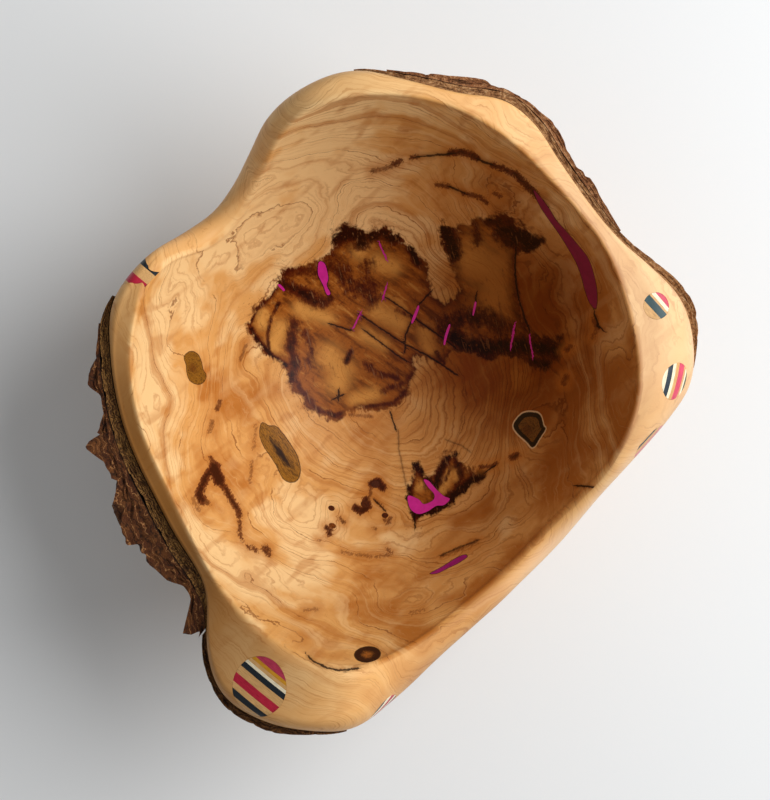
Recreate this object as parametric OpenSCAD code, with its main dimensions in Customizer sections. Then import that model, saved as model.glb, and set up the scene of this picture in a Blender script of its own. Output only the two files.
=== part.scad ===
// Natural-edge turned wooden bowl with four raised corners, bark left on its rim,
// laminated veneer plugs let into the corners, and resin and knots set flush in the hollow.
// +Z is up, the bowl stands on Z = 0, and the origin is under the middle of the bowl.
// Angles run anticlockwise from +X, seen from above, round the axis that the bowl was turned on.

/* [Bowl] */
// Width over the left and right corners, on which the outline is drawn
bowl_w = 156; // [132:1:192]
// Length over the top and bottom corners, on which the outline is drawn
bowl_l = 160; // [136:1:196]
// Height of the tallest corner above the table
bowl_h = 88; // [78:1:110]
// Width of the rim at its lowest point, which sets how wide the hollow is
rim_w = 5.9; // [5:0.1:8]
// Steepness of the hollow's wall, where 2 is a paraboloid and more is a rounder floor
hollow_n = 3; // [2.6:0.1:3.4]
// Wood left under the lowest point of the hollow
floor_t = 11; // [8:0.5:16]
// Fullness of the belly at the low sides, where 1 is straight and 2 a quarter ellipse
belly_full = 1.6; // [1.5:0.05:1.8]

/* [Foot] */
// Diameter of the turned foot
foot_d = 52; // [44:1:60]
// Height of the foot below the belly
foot_h = 4; // [2.5:0.5:6]
// Width of the flat ring that touches the table
foot_ring_w = 6; // [4:0.5:9]
// Depth of the recess turned inside the ring
foot_recess = 1.6; // [0.8:0.2:3]

/* [Bark] */
// Thickness of the smooth inner bark on the upper right edge
bark_right_t = 2.6; // [1.6:0.1:3.4]
// Thickness of the tallest outer bark ridge on the upper right edge
ridge_right_t = 2.4; // [1.4:0.1:4]
// Thickness of the inner bark on the lower left edge
bark_left_t = 3.2; // [2:0.1:5]
// Thickness of the tallest corky plate on the lower left edge
ridge_left_t = 9.5; // [6:0.1:11]
// Thickness of the bark strip left under the bottom corner
bark_bottom_t = 2.2; // [1.2:0.1:3]

/* [Plugs] */
// Diameter of the big plug on top of the bottom corner
big_plug_d = 14.3; // [11:0.1:14.6]
// Depth of the big plug
big_plug_depth = 6.5; // [4:0.5:8]
// Diameter of the small plug on top of the right corner
small_plug_d = 6.6; // [5:0.1:8]
// Diameter of the sloping plug beside it
slope_plug_d = 9.4; // [7:0.1:11]
// Diameter of the plug in the wall under the right corner
wall_plug_d = 11; // [8:0.1:12]
// Diameter of the plug in the wall under the bottom corner
low_plug_d = 9.5; // [7:0.1:11]
// Diameter of the plug in the wall under the left corner
left_plug_d = 9; // [7:0.1:10]
// Depth of the five smaller plugs
plug_depth = 5.5; // [4:0.5:7]

/* [Inlays] */
// Depth of the resin under the surface that it is flush with
resin_depth = 2.4; // [1.5:0.1:4]
// Depth of the knots under the surface that they are flush with
knot_depth = 3; // [2:0.1:4.5]

/* [Hidden] */

// The outline is drawn on a blank of this size and stretched to the sizes above
blank = [156, 160, 88];
stretch = [bowl_w / blank.x, bowl_l / blank.y, bowl_h / blank.z];
spread = (stretch.x + stretch.y) / 2;
// Place of the turning axis, which isn't under the middle of the uneven outline
axis_at = [-2.9 * stretch.x, 4.8 * stretch.y, 0];

// The rim, in mm on the blank: angle, height of the edge, and radius of the wood's outline
RIM = [
    [0, 69, 77.6], [8, 69.3, 78.6], [16, 69.3, 77], [24, 70.3, 71.9], [32, 71.5, 67.6],
    [42, 71.8, 67], [52, 74, 69.2], [60, 77.9, 72.7], [67, 81.5, 74], [76, 85.4, 71.6],
    [86, 87.6, 72.4], [96, 88, 75.2], [106, 85, 73.7], [114, 76, 71.1], [120, 66, 67.1],
    [127, 58, 63.5], [135, 54.5, 62], [143, 57.5, 63.7], [150, 67, 66.1], [157, 71, 68.7],
    [164, 71.5, 70.3], [174, 70, 68.2], [186, 66.5, 66.4], [204, 62, 64.4], [216, 64, 64.6],
    [226, 69.3, 65.8], [231, 72.5, 69.3], [236, 76, 78], [242, 80, 85], [250, 85, 86.5],
    [258, 88, 85.3], [265, 87, 83.6], [272, 79.5, 77.4], [280, 70.5, 70.3], [288, 62.5, 65.8],
    [296, 57.5, 63.1], [306, 54, 60.9], [318, 52.5, 60.3], [330, 56, 61], [339, 61, 63.5],
    [347, 64.8, 67.9], [354, 67.5, 73.1]
];
// How the edges are rounded and where the bark line lies, each as an angle and a length in mm:
// width and drop of the inner round and of the outer one, fall of the rim's top towards the
// outside, and depth of the bark line under the shoulder
IN_W = [[0, 1], [16, 0.8], [96, 0.8], [114, 2], [120, 3], [140, 3.4], [150, 3.6], [157, 2],
        [164, 0.8], [226, 0.8], [236, 2], [250, 4], [265, 3], [288, 3], [318, 2.3], [339, 2],
        [354, 1], [360, 1]];
IN_DROP = [[0, 1], [96, 1], [114, 2.5], [120, 3.5], [143, 3.5], [157, 1.5], [164, 1], [226, 1],
           [236, 1.5], [250, 2.5], [272, 3], [330, 3], [347, 1.5], [354, 1], [360, 1]];
OUT_W = [[0, 13], [8, 12.5], [16, 9], [24, 4], [32, 1.2], [86, 1], [96, 3], [114, 3.8],
         [120, 3.4], [143, 3.2], [150, 1.8], [157, 2.8], [164, 3.2], [174, 1.2], [231, 1], [242, 3],
         [258, 4], [265, 6], [272, 8], [280, 5], [296, 3], [318, 2.9], [330, 2.8], [339, 3.2],
         [347, 6.5], [354, 10], [360, 13]];
OUT_DROP = [[0, 19], [8, 15], [16, 9], [24, 5], [32, 1.5], [86, 1.5], [96, 5], [114, 5], [143, 4], [150, 2],
            [157, 4], [164, 5], [174, 2], [231, 2], [242, 5], [258, 7], [272, 13], [288, 5], [318, 4],
            [339, 6], [347, 11], [354, 15], [360, 19]];
FALL = [[0, 0.3], [24, 0.8], [76, 0.4], [106, 0.1], [120, 0], [150, 0], [164, 1], [186, 1.6], [216, 1.2],
        [242, 0.6], [265, 0.3], [280, 0], [347, 0], [360, 0.3]];
BARK_DOWN = [[0, 6], [8, 10], [24, 26], [42, 36], [60, 38], [76, 30], [86, 18], [96, 7], [150, 7], [157, 9],
             [164, 16], [174, 24], [186, 31], [204, 34], [220, 32], [231, 22], [236, 14], [250, 12],
             [272, 9], [285, 7], [360, 6]];

// Bark along its strips, as an angle and a share of the thickness set above
RIGHT_INNER = [[3, 0.7], [6, 1], [12, 1], [21, 0.96], [27, 0.65], [33, 0.6], [45, 0.7],
               [60, 0.75], [80, 0.7], [87, 0.5], [96, 0.15]];
RIGHT_OUTER = [[33, 0.15], [39, 0.6], [45, 1], [48, 0.7], [54, 0.95], [57, 1], [63, 0.5], [66, 0.3],
               [69, 0.45], [72, 1], [75, 1], [78, 0.8], [84, 0.4], [90, 0.15]];
LEFT_INNER = [[162, 0.3], [168, 0.75], [174, 0.85], [186, 0.95], [201, 1], [219, 1], [228, 0.9],
              [234, 0.15]];
LEFT_OUTER = [[168, 0.04], [171, 0.06], [174, 0.14], [177, 0.3], [180, 0.42], [183, 0.12],
              [186, 0.12], [189, 0.38], [192, 0.84], [195, 0.55], [198, 0.46], [201, 0.54],
              [204, 0.94], [207, 0.98], [210, 1], [213, 0.9], [216, 0.74], [219, 0.6], [222, 0.52],
              [225, 0.26], [228, 0.22], [231, 0.86], [234, 0.36]];
BOTTOM = [[234, 0.9], [237, 1], [240, 0.75], [246, 0.95], [252, 1], [255, 0.8], [258, 0.6],
          [264, 0.2]];

// Grid of the bowl's skin: columns round it, and rows from the foot over the rim to the floor
col_step = 3;
cols = 360 / col_step;
low_rows = 5;
bark_rows = 5;
round_rows = 3;
hollow_rows = 11;
row_bark = low_rows;
row_top = low_rows + bark_rows;
row_out = row_top + round_rows;
row_in = row_out + 1;
row_hollow = row_in + round_rows;
row_floor = row_hollow + hollow_rows;
// Powers that crowd the rows towards the foot and towards the mouth of the hollow
low_bias = 1.7;
hollow_bias = 0.8;

// Smooth value of a column of the rim table at any angle, through the four rows round it
function turn(a) = a - 360 * floor(a / 360);
function last_at(a, i = 0) = (i == len(RIM) - 1 || RIM[i + 1][0] > a) ? i : last_at(a, i + 1);
function rim_angle(i) = RIM[(i + len(RIM)) % len(RIM)][0] + 360 * floor(i / len(RIM));
function rim_value(i, col) = RIM[(i + len(RIM)) % len(RIM)][col];
function hermite(x, v0, v1, m0, m1) =
    v0 * (1 + 2 * x) * (1 - x) * (1 - x) + m0 * x * (1 - x) * (1 - x)
    + v1 * x * x * (3 - 2 * x) - m1 * x * x * (1 - x);
function rim_slope(i, col) =
    (rim_value(i + 1, col) - rim_value(i - 1, col)) / (rim_angle(i + 1) - rim_angle(i - 1));
function rim(a, col) = let(
        i = last_at(turn(a)),
        gap = rim_angle(i + 1) - rim_angle(i),
        x = (turn(a) - rim_angle(i)) / gap,
        m0 = rim_slope(i, col) * gap,
        m1 = rim_slope(i + 1, col) * gap
    ) hermite(x, rim_value(i, col), rim_value(i + 1, col), m0, m1);
function edge(a, table) = lookup(turn(a), table);

// Heights at angle a: the rim's edge, the shoulder under the outer round, and the bark line
function rim_z(a) = rim(a, 1) * stretch.z;
function shoulder_z(a) = rim_z(a) - edge(a, FALL) - edge(a, OUT_DROP);
function bark_z(a) = shoulder_z(a) - edge(a, BARK_DOWN) * stretch.z;
function place(a, r, z) = [r * cos(a) * stretch.x, r * sin(a) * stretch.y, z] + axis_at;

// Outer wall: a superellipse from the foot to the shoulder, straighter under the corners, which
// reach past the low sides' radius. It starts a little outside the foot.
low_side_r = min([for (row = RIM) row[2]]);
straighter = 0.015;
foot_lip = 1;
function outline_r(a) = rim(a, 2);
function belly_n(a) = belly_full - straighter * (outline_r(a) - low_side_r);
function wall_r(a, z) = let(
        n = belly_n(a),
        start = (foot_d / 2 + foot_lip) / spread,
        down = (shoulder_z(a) - z) / (shoulder_z(a) - foot_h)
    ) start + (outline_r(a) - start) * pow(1 - pow(down, n), 1 / n);
function wall(a, z) = place(a, wall_r(a, z), z);

// Hollow: a turned surface, whose edge lies where it meets the height of the rim, and whose
// radius at the height of the tallest corner leaves the rim its width at its lowest point
low_angle = 318;
low_share = (rim_z(low_angle) - edge(low_angle, IN_DROP) - floor_t) / (bowl_h - floor_t);
hollow_r = (outline_r(low_angle) - rim_w / spread) / pow(low_share, 1 / hollow_n);
function hollow_z(r) = floor_t + (bowl_h - floor_t) * pow(r / hollow_r, hollow_n);
function hollow_at(z) = hollow_r * pow((z - floor_t) / (bowl_h - floor_t), 1 / hollow_n);
function mouth_r(a) = hollow_at(rim_z(a) - edge(a, IN_DROP));
function crest_r(a) = mouth_r(a) + edge(a, IN_W);

// Point of the bowl's skin at an angle and a row, which may lie between two rows
function skin(a, row) =
    row <= row_bark ? wall(a, foot_h + (bark_z(a) - foot_h) * pow(row / low_rows, low_bias))
    : row <= row_top ? wall(a, bark_z(a) + (shoulder_z(a) - bark_z(a)) * (row - row_bark) / bark_rows)
    : row <= row_out ? let(b = 90 * (row - row_top) / round_rows)
        place(a, outline_r(a) - edge(a, OUT_W) * (1 - cos(b)), shoulder_z(a) + edge(a, OUT_DROP) * sin(b))
    : row <= row_in ? let(k = row - row_out, r = outline_r(a) - edge(a, OUT_W))
        place(a, r * (1 - k) + crest_r(a) * k, rim_z(a) - edge(a, FALL) * (1 - k))
    : row <= row_hollow ? let(b = 90 * (row - row_in) / round_rows)
        place(a, crest_r(a) - edge(a, IN_W) * sin(b), rim_z(a) - edge(a, IN_DROP) * (1 - cos(b)))
    : let(r = mouth_r(a) * pow(1 - (row - row_hollow) / hollow_rows, hollow_bias))
        place(a, r, hollow_z(r));
function hollow_row(a, r) = row_hollow + hollow_rows * (1 - pow(r / mouth_r(a), 1 / hollow_bias));

// Grid of skin points, and the two triangles of one of its cells
function grid(cs, rs) = [for (r = rs) for (c = cs) skin(c * col_step, r)];
function cell(i, j, w, next) = let(low = j * w, high = low + w)
    [[low + i, low + next, high + next], [low + i, high + next, high + i]];
function flip(f) = [f[2], f[1], f[0]];

// Whole skin, closed by a fan round the floor's middle and by one flat face under the belly
module turned_wood() {
    pts = concat(grid([0:cols - 1], [0:row_floor - 1]), [place(0, 0, floor_t)]);
    last = row_floor - 1;
    sides = [
        for (j = [0:last - 1]) for (i = [0:cols - 1])
            for (f = cell(i, j, cols, (i + 1) % cols)) flip(f)
    ];
    middle = cols * row_floor;
    fan = [for (i = [0:cols - 1]) [middle, last * cols + (i + 1) % cols, last * cols + i]];
    underside = [[for (i = [0:cols - 1]) i]];
    polyhedron(pts, concat(sides, fan, underside));
}

// A slab between two grids of points with the same columns and rows
module slab(lower, upper, w, h) {
    m = w * h;
    cells = [for (j = [0:h - 2]) for (i = [0:w - 2]) for (f = cell(i, j, w, i + 1)) f];
    rim_way = concat(
        [for (i = [0:w - 2]) [i, i + 1]],
        [for (j = [0:h - 2]) [j * w + w - 1, (j + 1) * w + w - 1]],
        [for (i = [w - 1:-1:1]) [(h - 1) * w + i, (h - 1) * w + i - 1]],
        [for (j = [h - 1:-1:1]) [j * w, (j - 1) * w]]
    );
    walls = [for (e = rim_way) for (f = [[e[1], e[0], e[0] + m], [e[1], e[0] + m, e[1] + m]]) f];
    lid = [for (f = cells) flip(f) + [m, m, m]];
    polyhedron(concat(lower, upper), concat(cells, lid, walls));
}

// Bark: a slab on the wall, from the bark line up to the shoulder. It is thin at the bark line,
// never under the feather thickness, and reaches its full one before the shoulder.
feather = 0.3;
thin_share = 0.1;
thicken = 1.3;
function outward(a) = [cos(a), sin(a), 0];
function up_share(j) = min(1, thin_share + thicken * j / bark_rows);
function layer(table, t, a, j) = max(feather, lookup(a, table) * t * up_share(j));
function lifted(cs, height) = [
    for (j = [0:bark_rows]) for (c = cs)
        skin(c * col_step, row_bark + j) + outward(c * col_step) * height(c * col_step, j)
];
module bark(c0, c1, below, above) {
    slab(lifted([c0:c1], below), lifted([c0:c1], above), c1 - c0 + 1, bark_rows + 1);
}
on_wood = function(a, j) 0;
right_inner = function(a, j) layer(RIGHT_INNER, bark_right_t, a, j);
right_outer = function(a, j) right_inner(a, j) + layer(RIGHT_OUTER, ridge_right_t, a, j);
left_inner = function(a, j) layer(LEFT_INNER, bark_left_t, a, j);
left_outer = function(a, j) left_inner(a, j) + layer(LEFT_OUTER, ridge_left_t, a, j);
bottom_strip = function(a, j) layer(BOTTOM, bark_bottom_t, a, j);

// A frame on the skin: +Z along the outward normal, +X along the given direction
near_a = 0.5;
near_row = 0.05;
function normal(a, row) = let(
        u = skin(a + near_a, row) - skin(a - near_a, row),
        v = skin(a, row + near_row) - skin(a, row - near_row),
        n = cross(u, v)
    ) n / norm(n);
module on_skin(a, row, along) {
    n = normal(a, row);
    flat = along - n * (along * n);
    u = flat / norm(flat);
    v = cross(n, u);
    p = skin(a, row);
    m = [[u.x, v.x, n.x, p.x], [u.y, v.y, n.y, p.y], [u.z, v.z, n.z, p.z], [0, 0, 0, 1]];
    multmatrix(m) children();
}
// The skin's own cells round a spot, made thick along the spot's normal
module skin_slab(a, row, c0, c1, r0, r1, depth) {
    top = grid([c0:c1], [r0:r1]);
    sunk = [for (p = top) p - normal(a, row) * depth];
    slab(sunk, top, c1 - c0 + 1, r1 - r0 + 1);
}

// Plugs: angle, row, direction across the plies, diameter, depth, columns and rows of skin
// round the plug, and its plies in that direction, each with a colour and a thickness
BIG = [247.4, row_out + 0.35, [0.59, 0.81, 0], big_plug_d, big_plug_depth, [78, 87],
    [row_top + 1, row_in],
    [["natural", 1.3], ["navy", 1.5], ["natural", 1.4], ["red", 2.1], ["natural", 2], ["navy", 1.4],
     ["cream", 0.8], ["natural", 0.9], ["yellow", 0.9], ["pink", 4]]];
SMALL = [16, row_top + 2.66, [0.73, 0.68, 0], small_plug_d, plug_depth, [2, 8], [row_top, row_in],
    [["natural", 1.9], ["teal", 1.9], ["natural", 0.6], ["cream", 0.9], ["red", 3]]];
SLOPE = [0.4, row_top + 1.83, [0.97, -0.25, 0], slope_plug_d, plug_depth, [-3, 3],
    [row_top - 1, row_in],
    [["cream", 1.1], ["navy", 1.4], ["cream", 1], ["natural", 1.2], ["red", 2.2], ["natural", 0.9],
     ["cream", 0.8], ["green", 4]]];
WALL = [347.6, row_top + 0.6, [0, 0, -1], wall_plug_d, plug_depth, [111, 121], [row_bark, row_out],
    [["natural", 0.6], ["navy", 0.8], ["natural", 1.6], ["pink", 1.5], ["natural", 1.5], ["pink", 1.3],
     ["natural", 6]]];
LOW = [269.5, row_top + 0.75, [0, 0, -1], low_plug_d, plug_depth, [86, 94], [row_bark, row_out],
    [["navy", 1], ["cream", 1.5], ["red", 1.9], ["cream", 1.4], ["navy", 1], ["red", 5]]];
LEFT = [156, row_top, [-0.59, -0.81, 0], left_plug_d, plug_depth, [48, 56], [row_bark - 1, row_out],
    [["navy", 1.7], ["natural", 2.8], ["red", 2.6], ["natural", 4]]];
PLUGS = [BIG, SMALL, SLOPE, WALL, LOW, LEFT];
// How far a cut stands out of the curved skin, so that it clears the skin all round
proud = 6;

module plug_bore(p) {
    on_skin(p[0], p[1], p[2])
        translate([0, 0, -p[4]]) cylinder(h = p[4] + proud, d = p[3], $fn = 48);
}
function ply_start(plies, i) = i == 0 ? 0 : ply_start(plies, i - 1) + plies[i - 1][1];
module plies(p, colour) {
    list = p[7];
    for (i = [0:len(list) - 1])
        if (list[i][0] == colour)
            intersection() {
                skin_slab(p[0], p[1], p[5][0], p[5][1], p[6][0], p[6][1], p[4] + proud);
                plug_bore(p);
                on_skin(p[0], p[1], p[2])
                    translate([ply_start(list, i) - p[3] / 2, -p[3], -p[4] - 1])
                        cube([i == len(list) - 1 ? p[3] : list[i][1], 2 * p[3], p[4] + 2 * proud]);
            }
}

// Inlays in the hollow: angle, radius, and an outline in mm with +X round the bowl and +Y
// towards its axis. An oval is given by its half width, half height and lean.
function oval(rx, ry, lean) = [for (t = [0:20:340]) [
    rx * cos(t) * cos(lean) - ry * sin(t) * sin(lean),
    rx * cos(t) * sin(lean) + ry * sin(t) * cos(lean)
]];
CRESCENT = [34, 58, [[19.2, -6], [15.8, -2.4], [11.7, -0.5], [7.4, 0.4], [2.6, 1.4], [-1.4, 2.1],
    [-4.8, 3.4], [-8.5, 5.2], [-12, 5.8], [-13.9, 4], [-10.6, 0.2], [-6.6, -2.4], [-2.3, -4.2],
    [2.2, -3.6], [6.4, -3.1], [10, -2.9], [13.8, -4.5]]];
BLOB = [119.9, 33, [[-1.1, -5.8], [0.7, -2.4], [1.3, 1.4], [1.7, 4.7], [0.2, 4.9], [0.1, 2.2],
    [-1.4, 0.3], [-2.2, -4.2]]];
FORK = [290, 32.5, [[-4.4, 2.6], [-5, -1.3], [-3.5, -4], [-0.7, -4.2], [1.8, -3.5], [3.9, -4.2],
    [5.9, -3.1], [4.7, -1.4], [3.5, 1.3], [2.3, 4.8], [1.1, 5.7], [1.5, 3.2], [2.4, 0.5],
    [1.6, -1.3], [-1.1, -1.5], [-2.1, 0.7]]];
SLIVER = [289.5, 49.5, [[-5.3, -1.6], [-3.4, -2.3], [-0.5, -1.5], [2.4, -1], [5.1, 0], [4.6, 1.4],
    [2.1, 1.3], [-0.2, 0.4], [-3, -0.6]]];
CRACKS = [
    [63, 19.5, [[-0.3, 3], [-0.4, -2.6], [0.3, -3], [0.4, 2.6]]],
    [38, 20.5, [[-2.6, 0.4], [-2.4, -0.3], [2.7, 0.4], [2.5, 0.9]]],
    [42, 32, [[-0.4, 2.2], [-0.3, -2.2], [0.5, -2.4], [0.3, 2.4]]],
    [133, 43, [[-0.4, 2], [-0.4, -1.8], [0.3, -2.2], [0.4, 1.8]]]
];
KNOT_LEFT = [175.2, 50, [[-2.7, -4.6], [-1, -3.3], [1.1, -2.6], [3.1, -1], [3.9, 2.3], [3.3, 4.9],
    [1.6, 6.1], [0.2, 4.6], [-2.1, 3.3], [-3.8, 1.2], [-4.2, -2.2]]];
KNOT_CENTRE = [214, 33.6, [[-10, -0.1], [-7.9, -2.5], [-4.6, -3.4], [-1.7, -3.3], [1.8, -3.4],
    [5.4, -4.2], [7.3, -3.1], [7.9, -0.8], [6.4, 1.8], [3.4, 3.6], [-0.2, 4.2], [-3.9, 4],
    [-7.1, 3.3], [-8.3, 1.4]]];
// The core of the right knot is its outline drawn in to this share round its middle
core_share = 0.66;
function drawn_in(points, share) = let(mid = [for (p = points) 1] * points / len(points))
    [for (p = points) mid + (p - mid) * share];
KNOT_RIGHT = [342.7, 39.7, [[1.2, 4.8], [-0.4, 4.8], [-1.8, 2.4], [-3, -1.3], [-4, -4.3], [-1, -5.6],
    [1.4, -6.6], [2, -5.5], [4.4, -3.3], [4.6, -0.4], [3.6, 3]]];
KNOT_RIGHT_CORE = [KNOT_RIGHT[0], KNOT_RIGHT[1], drawn_in(KNOT_RIGHT[2], core_share)];
KNOT_RIM = [266.3, 65.6, oval(3, 4.6, -10)];
// Pin knots, each an angle, a radius in the hollow and the radius of the knot itself
PINS = [[249.5, 40, 1], [264.5, 27, 1.1], [260.5, 32.5, 1.2], [270, 35, 0.9], [246.5, 36, 0.9]];

module inlay_cut(at, depth) {
    row = hollow_row(at[0], at[1]);
    on_skin(at[0], row, [-sin(at[0]), cos(at[0]), 0])
        translate([0, 0, -depth]) linear_extrude(depth + proud) polygon(at[2]);
}
inlay_spare = 1;
module inlay(at, depth) {
    row = hollow_row(at[0], at[1]);
    size = (max([for (p = at[2]) norm(p)]) + inlay_spare) / min(stretch.x, stretch.y);
    da = size / at[1] * 180 / PI;
    c0 = floor((at[0] - da) / col_step);
    c1 = ceil((at[0] + da) / col_step);
    r0 = max(row_hollow, floor(hollow_row(at[0], at[1] + size)) - 1);
    r1 = min(row_floor - 1, ceil(hollow_row(at[0], at[1] - size)) + 1);
    intersection() {
        skin_slab(at[0], row, c0, c1, r0, r1, depth + proud);
        inlay_cut(at, depth);
    }
}
function pin(p) = [p[0], p[1], oval(p[2], p[2], 0)];
INLAYS = concat([CRESCENT, BLOB, FORK, SLIVER], CRACKS);
KNOTS = concat([KNOT_LEFT, KNOT_CENTRE, KNOT_RIGHT, KNOT_RIM], [for (p = PINS) pin(p)]);

// The foot's cylinder reaches this far up into the belly
foot_root = 2;
module bowl_wood() {
    recess_d = foot_d - 2 * foot_ring_w;
    color("burlywood") difference() {
        union() {
            turned_wood();
            translate(axis_at) cylinder(h = foot_h + foot_root, d = foot_d, $fn = 96);
        }
        translate(axis_at - [0, 0, 1]) cylinder(h = foot_recess + 1, d = recess_d, $fn = 96);
        for (p = PLUGS) plug_bore(p);
        for (k = INLAYS) inlay_cut(k, resin_depth);
        for (k = KNOTS) inlay_cut(k, knot_depth);
    }
}
module bark_right_inner() { color("peru") bark(1, 32, on_wood, right_inner); }
module bark_right_outer() { color("saddlebrown") bark(11, 30, right_inner, right_outer); }
module bark_left_inner() { color("sienna") bark(54, 78, on_wood, left_inner); }
module bark_left_outer() { color("maroon") bark(56, 78, left_inner, left_outer); }
module bark_bottom() { color("#3a2418") bark(78, 88, on_wood, bottom_strip); }

module big_plug_natural() { color("tan") plies(BIG, "natural"); }
module big_plug_cream() { color("cornsilk") plies(BIG, "cream"); }
module big_plug_navy() { color("#14232e") plies(BIG, "navy"); }
module big_plug_red() { color("#a8092e") plies(BIG, "red"); }
module big_plug_yellow() { color("#c08a10") plies(BIG, "yellow"); }
module big_plug_pink() { color("#a83c50") plies(BIG, "pink"); }
module small_plug_natural() { color("tan") plies(SMALL, "natural"); }
module small_plug_cream() { color("cornsilk") plies(SMALL, "cream"); }
module small_plug_teal() { color("#24505c") plies(SMALL, "teal"); }
module small_plug_red() { color("#c8485c") plies(SMALL, "red"); }
module slope_plug_natural() { color("tan") plies(SLOPE, "natural"); }
module slope_plug_cream() { color("cornsilk") plies(SLOPE, "cream"); }
module slope_plug_navy() { color("#3c4a5c") plies(SLOPE, "navy"); }
module slope_plug_red() { color("#d8586c") plies(SLOPE, "red"); }
module slope_plug_green() { color("#3c4a34") plies(SLOPE, "green"); }
module wall_plug_natural() { color("tan") plies(WALL, "natural"); }
module wall_plug_navy() { color("#3c4a5c") plies(WALL, "navy"); }
module wall_plug_pink() { color("#d88490") plies(WALL, "pink"); }
module low_plug_cream() { color("cornsilk") plies(LOW, "cream"); }
module low_plug_navy() { color("#3c3a38") plies(LOW, "navy"); }
module low_plug_red() { color("#c8606c") plies(LOW, "red"); }
module left_plug_natural() { color("tan") plies(LEFT, "natural"); }
module left_plug_navy() { color("#14232e") plies(LEFT, "navy"); }
module left_plug_red() { color("#8c1430") plies(LEFT, "red"); }

module resin_crescent() { color("mediumvioletred") inlay(CRESCENT, resin_depth); }
module resin_blob() { color("mediumvioletred") inlay(BLOB, resin_depth); }
module resin_fork() { color("mediumvioletred") inlay(FORK, resin_depth); }
module resin_sliver() { color("mediumvioletred") inlay(SLIVER, resin_depth); }
module resin_cracks() { color("mediumvioletred") for (k = CRACKS) inlay(k, resin_depth); }

module knot_left() { color("#7a5a1e") inlay(KNOT_LEFT, knot_depth); }
module knot_centre() { color("#7a5a1e") inlay(KNOT_CENTRE, knot_depth); }
module knot_right_core() {
    color("#8a5a2c") intersection() {
        inlay(KNOT_RIGHT, knot_depth);
        inlay_cut(KNOT_RIGHT_CORE, knot_depth);
    }
}
module knot_right_bark() {
    color("#2c1810") difference() {
        inlay(KNOT_RIGHT, knot_depth);
        inlay_cut(KNOT_RIGHT_CORE, knot_depth);
    }
}
module knot_rim() { color("#3a1c10") inlay(KNOT_RIM, knot_depth); }
module knots_pin() { color("#6a3818") for (p = PINS) inlay(pin(p), knot_depth); }

bowl_wood();
bark_right_inner();
bark_right_outer();
bark_left_inner();
bark_left_outer();
bark_bottom();
big_plug_natural();
big_plug_cream();
big_plug_navy();
big_plug_red();
big_plug_yellow();
big_plug_pink();
small_plug_natural();
small_plug_cream();
small_plug_teal();
small_plug_red();
slope_plug_natural();
slope_plug_cream();
slope_plug_navy();
slope_plug_red();
slope_plug_green();
wall_plug_natural();
wall_plug_navy();
wall_plug_pink();
low_plug_cream();
low_plug_navy();
low_plug_red();
left_plug_natural();
left_plug_navy();
left_plug_red();
resin_crescent();
resin_blob();
resin_fork();
resin_sliver();
resin_cracks();
knot_left();
knot_centre();
knot_right_core();
knot_right_bark();
knot_rim();
knots_pin();
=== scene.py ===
import itertools
import math

import bmesh
import bpy
import numpy as np
from mathutils import Matrix, Vector


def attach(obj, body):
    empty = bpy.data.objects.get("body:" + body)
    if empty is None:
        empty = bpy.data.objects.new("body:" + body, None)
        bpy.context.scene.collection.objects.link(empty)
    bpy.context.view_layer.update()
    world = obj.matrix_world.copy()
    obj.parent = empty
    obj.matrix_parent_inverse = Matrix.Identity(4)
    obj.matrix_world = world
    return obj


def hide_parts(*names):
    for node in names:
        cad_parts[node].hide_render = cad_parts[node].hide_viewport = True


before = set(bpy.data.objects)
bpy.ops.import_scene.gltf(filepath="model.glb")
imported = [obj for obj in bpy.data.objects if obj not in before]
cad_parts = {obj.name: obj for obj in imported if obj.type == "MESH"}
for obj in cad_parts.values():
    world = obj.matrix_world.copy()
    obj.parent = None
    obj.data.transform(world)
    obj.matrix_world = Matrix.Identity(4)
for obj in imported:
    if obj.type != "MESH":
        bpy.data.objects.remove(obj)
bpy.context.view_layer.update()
print("frame loaded:", len(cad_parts), "nodes")

mm = 0.001

# the turned form, all in mm; angles run anticlockwise from +X round the turning axis
bowl = {
    "axis": (-2.9, 4.8, 0.0),
    "height": 88.0,
    "floorThickness": 11.0,
    "hollowRadius": 68.54,
    "hollowPower": 3.0,
    "bellyFull": 1.6,
    "straighter": 0.015,
    "lowSideRadius": 60.3,
    "footDiameter": 52.0,
    "footHeight": 4.0,
    "footLip": 1.0,
    "footRing": 6.0,
    "footRecess": 1.6,
    "columns": 400,
}
axis = np.array(bowl["axis"])

# the rim: angle, height of its edge, radius of the wood's outline
rimTable = np.array([
    [0, 69, 77.6], [8, 69.3, 78.6], [16, 69.3, 77], [24, 70.3, 71.9], [32, 71.5, 67.6],
    [42, 71.8, 67], [52, 74, 69.2], [60, 77.9, 72.7], [67, 81.5, 74], [76, 85.4, 71.6],
    [86, 87.6, 72.4], [96, 88, 75.2], [106, 85, 73.7], [114, 76, 71.1], [120, 66, 67.1],
    [127, 58, 63.5], [135, 54.5, 62], [143, 57.5, 63.7], [150, 67, 66.1], [157, 71, 68.7],
    [164, 71.5, 70.3], [174, 70, 68.2], [186, 66.5, 66.4], [204, 62, 64.4], [216, 64, 64.6],
    [226, 69.3, 65.8], [231, 72.5, 69.3], [236, 76, 78], [242, 80, 85], [250, 85, 86.5],
    [258, 88, 85.3], [265, 87, 83.6], [272, 79.5, 77.4], [280, 70.5, 70.3], [288, 62.5, 65.8],
    [296, 57.5, 63.1], [306, 54, 60.9], [318, 52.5, 60.3], [330, 56, 61], [339, 61, 63.5],
    [347, 64.8, 67.9], [354, 67.5, 73.1],
])
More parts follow.
